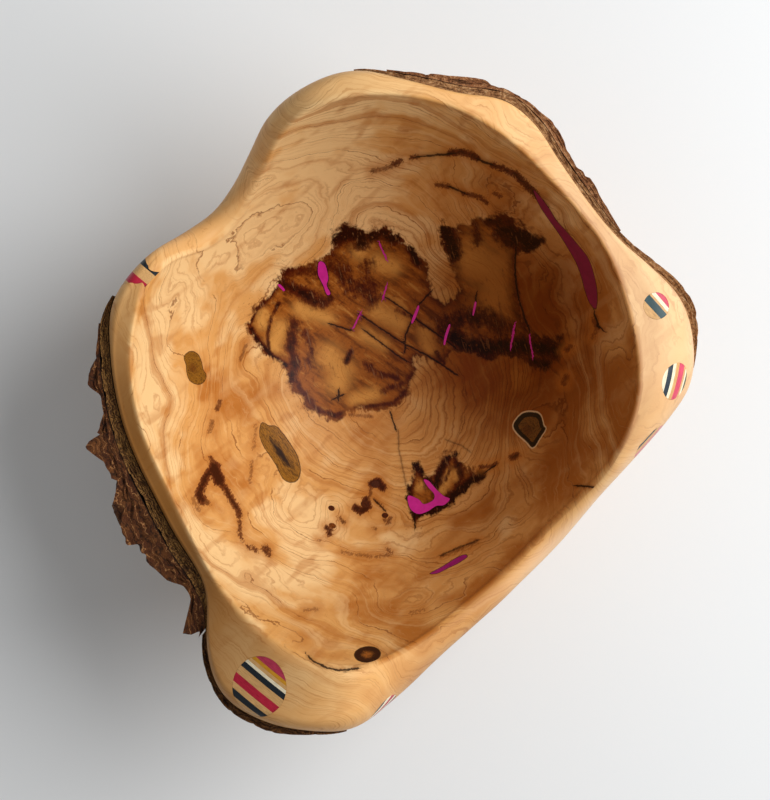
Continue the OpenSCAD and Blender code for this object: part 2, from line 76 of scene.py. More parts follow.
# width and drop of the inner round and of the outer one, fall of the rim's top, depth of the bark
edges = {
    "inWidth": [[0, 1], [16, 0.8], [96, 0.8], [114, 2], [120, 3], [140, 3.4], [150, 3.6], [157, 2],
                [164, 0.8], [226, 0.8], [236, 2], [250, 4], [265, 3], [288, 3], [318, 2.3],
                [339, 2], [354, 1], [360, 1]],
    "inDrop": [[0, 1], [96, 1], [114, 2.5], [120, 3.5], [143, 3.5], [157, 1.5], [164, 1], [226, 1],
               [236, 1.5], [250, 2.5], [272, 3], [330, 3], [347, 1.5], [354, 1], [360, 1]],
    "outWidth": [[0, 13], [8, 12.5], [16, 9], [24, 4], [32, 1.2], [86, 1], [96, 3], [114, 3.8],
                 [120, 3.4], [143, 3.2], [150, 1.8], [157, 2.8], [164, 3.2], [174, 1.2], [231, 1],
                 [242, 3], [258, 4], [265, 6], [272, 8], [280, 5], [296, 3], [318, 2.9],
                 [330, 2.8], [339, 3.2], [347, 6.5], [354, 10], [360, 13]],
    "outDrop": [[0, 19], [8, 15], [16, 9], [24, 5], [32, 1.5], [86, 1.5], [96, 5], [114, 5],
                [143, 4], [150, 2], [157, 4], [164, 5], [174, 2], [231, 2], [242, 5], [258, 7],
                [272, 13], [288, 5], [318, 4], [339, 6], [347, 11], [354, 15], [360, 19]],
    "fall": [[0, 0.3], [24, 0.8], [76, 0.4], [106, 0.1], [120, 0], [150, 0], [164, 1], [186, 1.6],
             [216, 1.2], [242, 0.6], [265, 0.3], [280, 0], [347, 0], [360, 0.3]],
    "barkDown": [[0, 6], [8, 10], [24, 26], [42, 36], [60, 38], [76, 30], [86, 18], [96, 7],
                 [150, 7], [157, 9], [164, 16], [174, 24], [186, 31], [204, 34], [220, 32],
                 [231, 22], [236, 14], [250, 12], [272, 9], [285, 7], [360, 6]],
}
edges = {name: np.array(rows, float) for name, rows in edges.items()}
# rows of the skin: the belly up to 5, bark zone to 10, outer round to 13, rim to 14, inner round
# to 17, hollow to 28
rowBark, rowTop, rowOut, rowIn, rowHollow = 5, 10, 13, 14, 17
hollowRows, hollowSpread = 11, 0.8  # rows down the hollow, and how they spread out on its floor


def rimAt(angle, column):
    a = np.mod(angle, 360.0)
    angles = np.concatenate([rimTable[:, 0] + turn for turn in (-360, 0, 360)])
    values = np.tile(rimTable[:, column], 3)
    slope = (np.roll(values, -1) - np.roll(values, 1)) / (np.roll(angles, -1) - np.roll(angles, 1))
    i = np.searchsorted(angles, a, side="right") - 1
    gap = angles[i + 1] - angles[i]
    x = (a - angles[i]) / gap
    return (values[i] * (1 + 2 * x) * (1 - x) ** 2 + slope[i] * gap * x * (1 - x) ** 2
            + values[i + 1] * x * x * (3 - 2 * x) - slope[i + 1] * gap * x * x * (1 - x))


def edgeAt(angle, name):
    return np.interp(np.mod(angle, 360.0), edges[name][:, 0], edges[name][:, 1])


def hollowZ(radius):
    rise = bowl["height"] - bowl["floorThickness"]
    return bowl["floorThickness"] + rise * (radius / bowl["hollowRadius"]) ** bowl["hollowPower"]


def hollowAt(z):
    share = (z - bowl["floorThickness"]) / (bowl["height"] - bowl["floorThickness"])
    return bowl["hollowRadius"] * share ** (1 / bowl["hollowPower"])


def mouthAt(angle):
    return hollowAt(rimAt(angle, 1) - edgeAt(angle, "inDrop"))


def skin(angle, row):
    a, row = np.broadcast_arrays(np.asarray(angle, float), np.asarray(row, float))
    rimZ, outline, mouth = rimAt(a, 1), rimAt(a, 2), mouthAt(a)
    outWidth, inWidth, fall = edgeAt(a, "outWidth"), edgeAt(a, "inWidth"), edgeAt(a, "fall")
    shoulder = rimZ - fall - edgeAt(a, "outDrop")
    barkLine = shoulder - edgeAt(a, "barkDown")
    power = bowl["bellyFull"] - bowl["straighter"] * (outline - bowl["lowSideRadius"])
    start = bowl["footDiameter"] / 2 + bowl["footLip"]
    z = np.where(row <= rowBark,
                 bowl["footHeight"] + (barkLine - bowl["footHeight"])
                 * np.clip(row / rowBark, 0, 1) ** 1.7,
                 barkLine + (shoulder - barkLine) * np.clip((row - rowBark) / 5, 0, 1))
    down = np.clip((shoulder - z) / (shoulder - bowl["footHeight"]), 0, 1)
    r = start + (outline - start) * (1 - down ** power) ** (1 / power)
    b = np.radians(90 * np.clip((row - rowTop) / 3, 0, 1))
    k = np.clip(row - rowOut, 0, 1)
    c = np.radians(90 * np.clip((row - rowIn) / 3, 0, 1))
    crest = mouth + inWidth
    inside = mouth * (1 - np.clip((row - rowHollow) / hollowRows, 0, 1)) ** hollowSpread
    zones = [row <= rowTop, row <= rowOut, row <= rowIn, row <= rowHollow]
    r = np.select(zones, [r, outline - outWidth * (1 - np.cos(b)),
                          (outline - outWidth) * (1 - k) + crest * k,
                          crest - inWidth * np.sin(c)], inside)
    z = np.select(zones, [z, shoulder + edgeAt(a, "outDrop") * np.sin(b), rimZ - fall * (1 - k),
                          rimZ - edgeAt(a, "inDrop") * (1 - np.cos(c))], hollowZ(inside))
    t = np.radians(a)
    return np.stack([r * np.cos(t), r * np.sin(t), z], -1) + axis


def hollowRow(angle, radius):
    return rowHollow + hollowRows * (1 - (radius / mouthAt(angle)) ** (1 / hollowSpread))


def skinFrame(angle, row, along):
    # +Z is the outward normal, +X the given direction laid on the skin
    around = skin(angle + 0.5, row) - skin(angle - 0.5, row)
    up = skin(angle, row + 0.05) - skin(angle, row - 0.05)
    n = np.cross(around, up)
    n /= np.linalg.norm(n)
    u = np.array(along, float) - n * np.dot(along, n)
    u /= np.linalg.norm(u)
    frame4 = np.eye(4)
    frame4[:3, :] = np.stack([u, np.cross(n, u), n, skin(angle, row)], 1)
    return frame4


def softNoise(points, size, seed):
    # smooth noise from -1 to 1, the same on every run
    q = points / size
    base = np.floor(q).astype(np.int64)
    f = q - base
    f = f * f * (3 - 2 * f)
    total = np.zeros(len(points))
    for corner in itertools.product((0, 1), repeat=3):
        cell = base + corner
        h = (cell[:, 0] * 374761393 + cell[:, 1] * 668265263 + cell[:, 2] * 1440662683
             + seed * 974634777) & 0xFFFFFFFF
        h = ((h ^ (h >> 13)) * 1274126177) & 0xFFFFFFFF
        h = (h ^ (h >> 16)) & 0xFFFF
        weight = np.prod(np.where(corner, f, 1 - f), axis=1)
        total += weight * (h / 32767.5 - 1)
    return total


# fine grid of the skin, in mm; the hollow has a row every half millimetre
fineRows = np.concatenate([
    np.linspace(0, rowBark, 22, endpoint=False),
    np.linspace(rowBark, rowTop, 22, endpoint=False),
    np.linspace(rowTop, rowOut, 12, endpoint=False),
    np.linspace(rowOut, rowIn, 7, endpoint=False),
    np.linspace(rowIn, rowHollow, 10, endpoint=False),
    rowHollow + hollowRows * (1 - np.linspace(1, 0.012, 138) ** (1 / hollowSpread)),
])
fineAngles = np.arange(bowl["columns"]) * 360.0 / bowl["columns"]


def roundSmooth(grid, width):
    # evens the small kinks between the tables' rows, round the bowl only
    reach = int(width * 4) + 1
    steps = np.arange(-reach, reach + 1)
    weights = np.exp(-0.5 * (steps / width) ** 2)
    weights /= weights.sum()
    return sum(w * np.roll(grid, s, axis=1) for s, w in zip(steps, weights))


fineSkin = roundSmooth(skin(fineAngles[None, :], fineRows[:, None]), 1.4)
# a hair inside the solid's outline, so that the finer curve does not stand out of it
fineSkin[fineRows <= rowTop, :, :2] -= 0.0015 * (fineSkin[fineRows <= rowTop, :, :2] - axis[:2])


def closedGrid(grid, startCentre, endCentre):
    # vertices and faces of a surface closed round the bowl and at both ends
    rows, cols = grid.shape[:2]
    verts = np.concatenate([grid.reshape(-1, 3), [startCentre, endCentre]])
    j = np.arange(cols)
    nxt = (j + 1) % cols
    faces = []
    for i in range(rows - 1):
        low, high = i * cols, (i + 1) * cols
        faces += np.stack([low + j, low + nxt, high + nxt, high + j], 1).tolist()
    first, last, top = rows * cols, rows * cols + 1, (rows - 1) * cols
    faces += np.stack([np.full(cols, first), nxt, j], 1).tolist()
    faces += np.stack([np.full(cols, last), top + j, top + nxt], 1).tolist()
    return verts, faces


def slabBetween(lower, upper):
    # a closed slab between two grids of the same rows and columns, upper on the outside
    rows, cols = lower.shape[:2]
    half = rows * cols
    verts = np.concatenate([lower.reshape(-1, 3), upper.reshape(-1, 3)])
    faces = []
    for i in range(rows - 1):
        for j in range(cols - 1):
            a, b = i * cols + j, (i + 1) * cols + j
            faces.append([half + a, half + a + 1, half + b + 1, half + b])
            faces.append([b, b + 1, a + 1, a])
    way = ([(j, j + 1) for j in range(cols - 1)]
           + [(i * cols + cols - 1, (i + 1) * cols + cols - 1) for i in range(rows - 1)]
           + [((rows - 1) * cols + j, (rows - 1) * cols + j - 1) for j in range(cols - 1, 0, -1)]
           + [(i * cols, (i - 1) * cols) for i in range(rows - 1, 0, -1)])
    faces += [[a, b, half + b, half + a] for a, b in way]
    return verts, faces


def prism(outline, bottom, top):
    # straight prism over a closed outline, in the piece's own frame
    n = len(outline)
    bm = bmesh.new()
    low = [bm.verts.new((x, y, bottom)) for x, y in outline]
    high = [bm.verts.new((x, y, top)) for x, y in outline]
    bm.faces.new(low[::-1])
    bm.faces.new(high)
    for i in range(n):
        bm.faces.new([low[i], low[(i + 1) % n], high[(i + 1) % n], high[i]])
    bmesh.ops.triangulate(bm, faces=bm.faces[:])
    bm.verts.index_update()
    verts = np.array([v.co for v in bm.verts])
    faces = [[v.index for v in f.verts] for f in bm.faces]
    bm.free()
    return verts, faces


def joined(parts):
    verts, faces, base = [], [], 0
    for v, f in parts:
        verts.append(v)
        faces += [[i + base for i in face] for face in f]
        base += len(v)
    return np.concatenate(verts), faces


def moved(part, frame4):
    verts, faces = part
    return verts @ frame4[:3, :3].T + frame4[:3, 3], faces


def newObject(name, part):
    verts, faces = part
    mesh = bpy.data.meshes.new(name)
    mesh.from_pydata((np.asarray(verts) * mm).tolist(), [], faces)
    mesh.validate()
    obj = bpy.data.objects.new(name, mesh)
    bpy.context.scene.collection.objects.link(obj)
    return obj


def booleanOf(obj, tool, operation):
    cutter = newObject("cutter", tool)
    modifier = obj.modifiers.new("cut", "BOOLEAN")
    modifier.object = cutter
    modifier.operation = operation
    modifier.solver = "MANIFOLD"
    bpy.context.view_layer.update()
    result = bpy.data.meshes.new_from_object(
        obj.evaluated_get(bpy.context.evaluated_depsgraph_get()))
    obj.modifiers.clear()
    obj.data = result
    bpy.data.objects.remove(cutter)


def finishPiece(obj, node, material, sharpAngle=35):
    obj.data.materials.clear()
    obj.data.materials.append(material)
    obj.data.shade_smooth()
    obj.data.set_sharp_from_angle(angle=math.radians(sharpAngle))
    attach(obj, "root")
    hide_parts(node)
    print("piece:", obj.name, len(obj.data.polygons), "faces")


def smoothOutline(points, steps=6):
    # closed curve through the points
    p = np.array(points, float)
    before, after, beyond = np.roll(p, 1, 0), np.roll(p, -1, 0), np.roll(p, -2, 0)
    out = []
    for t in np.arange(steps) / steps:
        out.append(0.5 * (2 * p + (after - before) * t
                          + (2 * before - 5 * p + 4 * after - beyond) * t ** 2
                          + (3 * p - before - 3 * after + beyond) * t ** 3))
    return np.stack(out, 1).reshape(-1, 2)


def signedDistance(xy, outline):
    # mm inside the outline, and less than 0 outside it
    a = np.asarray(outline, float)
    b = np.roll(a, -1, 0)
    best = np.full(len(xy), 1e9)
    inside = np.zeros(len(xy), bool)
    for p, q in zip(a, b):
        d = q - p
        t = np.clip(((xy - p) @ d) / (d @ d), 0, 1)
        best = np.minimum(best, np.linalg.norm(xy - p - t[:, None] * d, axis=1))
        crosses = (p[1] > xy[:, 1]) != (q[1] > xy[:, 1])
        rise = q[1] - p[1] if q[1] != p[1] else 1e-9
        inside ^= crosses & (xy[:, 0] < p[0] + (xy[:, 1] - p[1]) * d[0] / rise)
    return np.where(inside, best, -best)


def strokeDistance(xy, points):
    # distance to a run of straight lines, and the same with the side's sign
    best = np.full(len(xy), 1e9)
    side = np.ones(len(xy))
    p = np.asarray(points, float)
    for a, b in zip(p[:-1], p[1:]):
        d = b - a
        away = xy - a
        t = np.clip((away @ d) / (d @ d), 0, 1)
        distance = np.linalg.norm(away - t[:, None] * d, axis=1)
        cross = np.sign(d[0] * away[:, 1] - d[1] * away[:, 0])
        nearer = distance < best
        best = np.where(nearer, distance, best)
        side = np.where(nearer, cross, side)
    return best, best * side


# figure of the wood, seen from above, in mm from the turning axis
figure = {
    "logAcross": 40,  # degrees from +X to the direction across the log
    # paler (+) and darker (-) tone, partly painted light, and painted shade towards the right wall:
    # middle x and y, reach x and y, strength
    "toneAndLightSpots": [(-15, 52, 30, 22, 0.14), (-42, -6, 14, 22, -0.14), (-18, -44, 26, 12, 0.14)],
    "paintedShadeSpots": [(30, 12, 29, 32, 1.2), (41, 22, 12, 24, 0.95)],
    # tones of the rim and of the wall under it, mostly painted light and shade: middle and reach in
    # degrees, how flat-topped
    "rimTones": {"shade": (308, 26, 2), "brown": (287, 14, 2), "sapwoodHighlight": (324, 24, 4),
                 "pale": (20, 38, 4), "oliveShade": (208, 38, 4)},
    "heart": [
        [(-36.4, 14.6), (-35.4, 18.8), (-33.6, 22), (-30.8, 24), (-28.6, 27.4), (-26.8, 30.2),
         (-24.6, 31.6), (-21.6, 32.4), (-18.4, 33.2), (-15.6, 35), (-13.6, 36.8), (-13.8, 39),
         (-12.4, 41.2), (-9.8, 42.4), (-6.8, 41.4), (-4.6, 40.4), (-1.8, 41.6), (1.2, 41.6),
         (3.4, 39.6), (6, 37), (8.8, 35.4), (11, 32), (11.8, 28), (12.6, 24.6), (15, 22.6),
         (18.4, 23.4), (19.8, 26.8), (18.2, 31.6), (15.6, 36), (14.4, 41.2), (15.4, 43),
         (18.6, 41), (21.8, 42.4), (26.8, 43.4), (31.2, 43.6), (35.6, 40.6), (38.4, 38.2),
         (40.4, 36.2), (38.2, 34.6), (34.8, 34), (34.2, 29.4), (35, 24.2), (36.2, 19.4),
         (37.6, 15.8), (39.8, 13.6), (45.4, 12.4), (47, 10.6), (45.4, 7.6), (42.8, 4.6), (40, 4),
         (37.4, 6), (33.6, 7.8), (28.2, 7.2), (22, 8.2), (18.8, 9), (16.4, 5.6), (12.6, 6.2),
         (9.4, 7.4), (7.6, 6.2), (7.8, 2.4), (5.6, -2.6), (3.2, -5.6), (-3.2, -6.2), (-8.2, -7),
         (-14.4, -9.4), (-17.8, -7.8), (-20.8, -6.6), (-22.6, -3.2), (-26, -0.8), (-26.6, 3),
         (-28.2, 6), (-30.6, 6.6), (-33, 9), (-34.8, 11.8)],
        [(5.6, -30.2), (6.2, -27.8), (7, -24.4), (8.4, -21.2), (9.8, -22.4), (11.4, -23.8),
         (13, -24), (14.4, -21.4), (16.2, -19.2), (18.2, -18.2), (19.8, -19), (20.6, -20.8),
         (21.8, -22), (23.8, -22.8), (25.8, -22.6), (27, -23.4), (25.8, -25.2), (23.6, -26.6),
         (21.8, -28.2), (19.8, -30.2), (18, -32.2), (16, -33.2), (13.6, -34), (11.2, -34.8),
         (9.4, -35.8), (8.2, -38.2), (7.2, -35.4), (6.2, -32.8)],
    ],
    # near-black zones of the heart: width, strength, run
    "burns": [
        (2.4, 1.0, [(-12.6, 39), (-10, 40.6), (-7, 39.6), (-6, 38.4)]),
        (1.8, 0.95, [(-3.6, 39.6), (-0.2, 40), (2.4, 39)]), (1.1, 1.0, [(6.8, 36.4), (8.8, 33)]),
        (2.1, 1.0, [(15.8, 41), (17.4, 37.8), (18.6, 35)]),
        (1.4, 0.7, [(23.6, 40.2), (24.4, 37.6)]),
        (2.7, 1.0, [(30.8, 40.2), (34.8, 37.8), (38, 36.4)]),
        (1.7, 0.8, [(26.8, 42.6), (30.4, 41.4)]),
        (1.9, 0.75, [(-27.8, 27.4), (-23, 25.2), (-18.6, 22.8), (-15.6, 23.2)]),
        (1.6, 0.6, [(-26.2, 30), (-21.6, 30.6), (-17.4, 31)]),
        (2.6, 0.62, [(-14.2, 32.6), (-10.6, 28.4), (-5.6, 25.4), (-3.2, 23)]),
        (1.9, 0.5, [(-4.6, 32.4), (-5.6, 28.8), (-2.2, 26.2)]),
        (0.7, 0.95, [(-35.6, 15), (-34, 11.8), (-30.6, 8), (-26.8, 5.4)]),
        (0.5, 0.75, [(-36, 16.4), (-34.4, 20), (-30.8, 23.4), (-28.6, 26.8)]),
        (0.5, 0.75, [(-28.4, 22), (-30.4, 18.4), (-31.6, 13.4), (-31.2, 8.6)]),
        (1.7, 0.75, [(-24.2, 16.8), (-25.6, 11.2), (-24.4, 6.2), (-25.6, 1.2)]),
        (1.5, 0.5, [(-22, 13.6), (-20, 10.6), (-20.6, 6.2)]),
        (0.8, 0.6, [(-25, 2.4), (-22, -2.6), (-18.8, -6.4), (-13.8, -8.2), (-9.4, -7)]),
        (0.7, 0.55, [(-8.2, -6.2), (-3.2, -5.6), (2.6, -4.6), (5.6, -1.4)]),
        (1.2, 0.55, [(-5.6, 6), (-1.8, 3), (3.2, 2.2)]),
        (1.0, 0.5, [(-0.6, -1.4), (4.4, 0.2), (7.4, 3)]),
        (2.5, 0.95, [(19, 13.6), (22, 11), (26.8, 9.8), (31.6, 10.6), (36.4, 10.6), (41, 9.4),
                     (45, 10)]),
        (3.4, 0.62, [(16, 15), (21.8, 18.6), (28, 17.8), (32.2, 14.6)]),
        (1.6, 0.8, [(39.8, 6.6), (42.2, 5.2)]), (1.0, 0.6, [(13.8, 8.8), (15.8, 6.2)]),
        (0.9, 0.5, [(3.2, 20.6), (7, 18.8), (10.6, 16.2), (15.8, 13.8)]),
        (0.8, 0.7, [(-9.4, 9.4), (-10.6, 6.2)]),
        (1.8, 1.0, [(6.2, -32.2), (7.8, -34.6), (10.8, -34), (14.8, -32.6), (18, -30.6),
                    (20.6, -28), (23.4, -25.8), (26, -23.6)]),
        (1.4, 0.95, [(8.4, -21.6), (7, -24.6), (6.2, -28.4), (6, -31)]),
        (1.2, 0.95, [(8.4, -21.6), (10, -23.8), (11.4, -25.6), (12.8, -27.2)]),
        (1.2, 0.9, [(13.8, -27.6), (14.4, -24.6), (15.8, -21.4), (17.6, -19.2), (19.6, -19)]),
        (1.1, 0.7, [(19, -19.2), (20.2, -22.4), (20.8, -25)]),
        (0.5, 0.6, [(16.4, -25.6), (17.4, -23)]),
    ],
    # paler amber wood left inside the heart: width, run
    "islands": [
        (2.2, [(-28.2, 15.4), (-30, 10.8)]), (3.2, [(-15.2, 8), (-12, 4), (-12.8, 0.8)]),
        (1.8, [(-23, 20.6), (-15.6, 18.2)]), (2.2, [(-1.8, 20), (4.4, 16.8)]),
        (2.0, [(10.8, 15), (12.2, 9.6)]), (2.0, [(-2.4, 33.4), (2.4, 31.8)]),
        (5.0, [(23.4, 33), (28.8, 29.8), (29.6, 23.8)]), (1.6, [(22, 11.2), (22.6, 11.4)]),
        (1.6, [(-33.2, 19), (-32.8, 16.4)]), (2.0, [(-6.8, 35.6), (-5.6, 37.4)]),
        (1.8, [(-0.6, 11.2), (-5.6, 13.8)]), (2.0, [(-3.2, -2.6), (-8.2, -3.8)]),
        (1.0, [(9.4, -27.6), (10.6, -26.8)]), (1.3, [(15.4, -28.2), (17.4, -24)]),
        (1.0, [(18.8, -25), (19.4, -23)]),
    ],
    # reddish stains outside the heart: width, strength, run
    "stains": [
        (0.5, 0.9, [(-45.4, -18.8), (-44.8, -20.2)]),
        (1.45, 1.0, [(-44.4, -21.2), (-43.8, -23.2), (-43, -25)]),
        (1.1, 1.0, [(-44.6, -21.6), (-46.2, -23.8), (-46.8, -26), (-47.4, -28), (-46.4, -29.8)]),
        (0.5, 0.8, [(-46.2, -29.4), (-45, -30.6)]),
        (0.85, 0.95, [(-43, -25), (-41.2, -27.4), (-39.8, -30), (-38.4, -32), (-37.6, -33.8)]),
        (0.5, 0.9, [(-38, -33.4), (-37.2, -36), (-37.4, -37.4), (-36.6, -39.6)]),
        (0.45, 0.9, [(-35.4, -41), (-34.4, -42)]), (0.55, 0.9, [(-33.8, -41.6), (-32.8, -42.8)]),
        (0.6, 0.95, [(-31.4, -41.8), (-30.4, -43)]), (0.6, 0.95, [(-30.2, -42.2), (-29.6, -44)]),
        (1.2, 1.0, [(-3.6, -26.6), (-1.8, -26.2), (-0.6, -27.8)]),
        (0.5, 0.8, [(-3.8, -27.6), (-4, -29.4), (-4.6, -31.2)]),
        (1.2, 1.0, [(-5.2, -31), (-4.6, -32.6), (-6, -33.6)]),
        (1.1, 1.0, [(-8, -33), (-6.8, -33.8)]),
        (0.35, 0.7, [(-3, -30.8), (-1.4, -32), (0, -33.8)]),
        (0.65, 0.75, [(-12, -35.6), (-11, -36.8)]),
        (0.8, 0.95, [(-15.6, -37.8), (-14.6, -38.6), (-14.8, -39.6)]),
        (0.6, 0.8, [(0, -36), (0.6, -37.2)]), (0.5, 0.75, [(1.6, -35.6), (1, -37)]),
        (0.45, 0.6, [(-3.2, -38.2), (-2.4, -38.4)]),
        (0.4, 0.55, [(-11.4, -43.8), (-9.2, -44.4), (-6, -44.8), (-3.4, -45.2)]),
        (0.4, 0.6, [(-2.4, -45.2), (1.8, -44.6)]), (0.55, 0.75, [(0.6, -43.4), (1.8, -44.4)]),
        (0.45, 0.6, [(-17.6, -40.8), (-17.2, -41.2)]), (0.7, 0.8, [(-43.6, -4.6), (-44.2, -6.4)]),
        (0.5, 0.6, [(-45.2, -9.2), (-45.8, -12.4)]), (0.4, 0.5, [(-34.6, -10.8), (-35, -17.4)]),
        (0.45, 0.55, [(-35.4, -20.4), (-35.6, -25.6)]),
        (0.6, 0.85, [(25.6, -22), (28.2, -21.8), (30, -20.8)]),
        (0.95, 0.85, [(33.8, -19.4), (35.2, -18.6)]), (0.6, 0.8, [(-11, -74.8), (-10.4, -74.6)]),
        (0.8, 0.9, [(-12.2, -77.4), (-12, -78.6)]),
        (0.55, 0.7, [(-3.4, 54.4), (0, 55), (2.6, 55.6)]), (0.7, 0.95, [(2, 55.8), (4, 56.4)]),
        (0.6, 0.9, [(6.6, 57), (7.8, 57.2)]),
        (0.8, 1.0, [(16.2, 57.6), (18.8, 57.6), (21, 57), (23, 56)]),
        (0.7, 1.0, [(26.6, 54.4), (29.8, 53), (32.2, 52)]),
        (0.8, 1.0, [(32.2, 52), (34.2, 50.2), (36.2, 48.4), (37.8, 46.8)]),
        (0.6, 0.85, [(13, 51.4), (16.6, 50.6)]),
        (0.6, 0.9, [(20.2, 49), (24.4, 47.8), (26.2, 46.4)]),
        (0.5, 0.8, [(27.6, 48.6), (29.2, 47.6)]), (0.7, 0.7, [(53.2, 16.8), (53.8, 14.2)]),
        (0.5, 0.6, [(54, 13.8), (52.8, 11.8)]), (0.8, 0.65, [(47.4, 9), (48.2, 9.8)]),
        (0.8, 0.6, [(47.4, 2.2), (46.8, 0.2)]),
        (0.5, 0.55, [(14.4, -45), (20.2, -42.8), (24.2, -40.8)]),
        (0.35, 0.5, [(-20, -56.4), (-16.8, -56.4)]), (0.4, 0.5, [(6.2, -57.4), (9.8, -57)]),
        (0.5, 0.55, [(-37.2, 10.6), (-38.6, 6.6)]),
        (0.5, 0.5, [(-48.6, -28.8), (-46.8, -32.2)]), (0.4, 0.45, [(51.6, -25.8), (54.2, -26.4)]),
        (0.5, 0.5, [(-9.6, -8), (-3.6, -8.6)]),
    ],
    # hairlines: strength, 1 where resin fills them, run
    "cracks": [
        (1.0, 0, [(-7, 19.4), (-3.2, 16.8), (0.6, 14.4), (5.4, 11.2)]),
        (1.0, 0, [(-5.6, 15), (-0.6, 11.2), (3.2, 8.4), (6, 6.6)]),
        (0.9, 0, [(-0.6, 24.4), (4.4, 21.2), (9.4, 17.4), (14.4, 13.8), (19.2, 10.2)]),
        (0.9, 0, [(5.6, 11.2), (10.8, 8.6), (15.8, 5.6), (19.6, 2.8)]),
        (1.0, 0, [(12.6, 25.4), (9.4, 22.2)]), (1.0, 0, [(7, 17.2), (5.6, 13.8), (5.4, 9.2)]),
        (0.9, 0, [(34, 35.2), (34.2, 29.4), (35.2, 23.6), (37, 17.8), (38.4, 14.4)]),
        (0.8, 0, [(-12.6, -1.4), (-12.8, -3.8)]), (0.8, 0, [(-14.2, -3.8), (-11.4, -2.6)]),
        (1.0, 1, [(-1.4, 37.6), (0.4, 34)]),
        (0.9, 1, [(0.4, 27), (-0.6, 23.6)]), (1.0, 1, [(-6.6, 19.8), (-8.6, 15.8)]),
        (1.0, 1, [(34.6, 16), (33.8, 10.2)]), (1.0, 1, [(38.4, 13), (39.4, 7.6)]),
        (0.8, 0, [(24.6, 24.6), (24.4, 22.4)]), (0.7, 0, [(-15, 16.8), (-9.4, 15)]),
        (0.8, 0, [(7.8, 57.2), (13.8, 57.4), (16.8, 57.4)]), (0.8, 0, [(23, 55.8), (26.8, 54.4)]),
        (1.0, 0, [(38, 46.8), (40.2, 44.4), (42.2, 41.2), (44.4, 38.2)]),
        (0.8, 0, [(16.6, 50.6), (20.6, 49)]),
        (0.9, 0, [(-18.4, -65), (-16.6, -66.4), (-14.2, -67.4), (-11.8, -68), (-10, -68.2)]),
        (0.9, 0, [(-10, -68.2), (-8.2, -68), (-6.4, -67.8)]),
        (0.6, 0, [(-10.2, -68.6), (-9.4, -70.2), (-9, -72.4)]),
        (0.8, 0, [(48.8, -25.8), (51.6, -25.8), (54.2, -26.4)]),
        (0.35, 0, [(3.6, -12.2), (3.8, -17.6), (5.2, -24.4), (6, -28.4)]),
        (0.5, 0, [(8, -31), (8, -38.2)]), (0.6, 0, [(27, -23.4), (29.4, -21.6)]),
        (0.7, 0, [(53, 18.4), (54, 14.8), (55.2, 13.6)]), (0.5, 0, [(1.4, -7.2), (3, -12.2)]),
        (0.35, 0, [(16.6, -14.8), (20.8, -16.4), (23, -18)]), (0.5, 0, [(-2.8, -31), (0, -33.8)]),
        (0.42, 0, [(14.4, -44.8), (18.4, -43), (24.4, -40.6)]),
    ],
}


def rotatedPlan(points):
    # across the log and along it, in mm, from above
    t = math.radians(figure["logAcross"])
    x, y = points[:, 0] - axis[0], points[:, 1] - axis[1]
    return x * math.cos(t) + y * math.sin(t), y * math.cos(t) - x * math.sin(t)


# plugs of dyed veneer: place on the skin, direction across the plies, size, the skin's columns
# and rows round them (as the solids have them), and the plies in that direction
plugs = {
    "bigPlug": {
        "node": "big_plug", "angle": 247.4, "row": rowOut + 0.35, "along": (0.59, 0.81, 0),
        "diameter": 14.3, "depth": 6.5, "columns": (78, 87), "rows": (rowTop + 1, rowIn),
        "plies": [("natural", 1.3), ("navy", 1.5), ("natural", 1.4), ("red", 2.1),
                  ("natural", 2), ("navy", 1.4), ("cream", 0.8), ("natural", 0.9),
                  ("yellow", 0.9), ("pink", 4)],
    },
    "smallPlug": {
        "node": "small_plug", "angle": 16, "row": rowTop + 2.66, "along": (0.73, 0.68, 0),
        "diameter": 6.6, "depth": 5.5, "columns": (2, 8), "rows": (rowTop, rowIn),
        "plies": [("natural", 1.9), ("teal", 1.9), ("natural", 0.6), ("cream", 0.9), ("red", 3)],
    },
    "slopePlug": {
        "node": "slope_plug", "angle": 0.4, "row": rowTop + 1.83, "along": (0.97, -0.25, 0),
        "diameter": 9.4, "depth": 5.5, "columns": (-3, 3), "rows": (rowTop - 1, rowIn),
        "plies": [("cream", 1.1), ("navy", 1.4), ("cream", 1), ("natural", 1.2), ("red", 2.2),
                  ("natural", 0.9), ("cream", 0.8), ("green", 4)],
    },
    "wallPlug": {
        "node": "wall_plug", "angle": 347.6, "row": rowTop + 0.6, "along": (0, 0, -1),
        "diameter": 11, "depth": 5.5, "columns": (111, 121), "rows": (rowBark, rowOut),
        "plies": [("natural", 0.6), ("navy", 0.8), ("natural", 1.6), ("pink", 1.5),
                  ("natural", 1.5), ("pink", 1.3), ("natural", 6)],
    },
    "lowPlug": {
        "node": "low_plug", "angle": 269.5, "row": rowTop + 0.75, "along": (0, 0, -1),
        "diameter": 9.5, "depth": 5.5, "columns": (86, 94), "rows": (rowBark, rowOut),
        "plies": [("navy", 1), ("cream", 1.5), ("red", 1.9), ("cream", 1.4), ("navy", 1),
                  ("red", 5)],
    },
    "leftPlug": {
        "node": "left_plug", "angle": 156, "row": rowTop, "along": (-0.59, -0.81, 0),
        "diameter": 9, "depth": 5.5, "columns": (48, 56), "rows": (rowBark - 1, rowOut),
        "plies": [("navy", 1.7), ("natural", 2.8), ("red", 2.6), ("natural", 4)],
    },
}
proud = 6.0      # how far a cutting tool stands out of the skin
glueLine = 0.05  # the bores are this much wider all round than their plugs


# inlays in the hollow: angle, radius, and outlines in mm, +X round the bowl, +Y to its axis
def oval(rx, ry, lean):
    t = np.radians(np.arange(0, 360, 30))
    lean = math.radians(lean)
    return np.stack([rx * np.cos(t) * math.cos(lean) - ry * np.sin(t) * math.sin(lean),
                     rx * np.cos(t) * math.sin(lean) + ry * np.sin(t) * math.cos(lean)], 1)


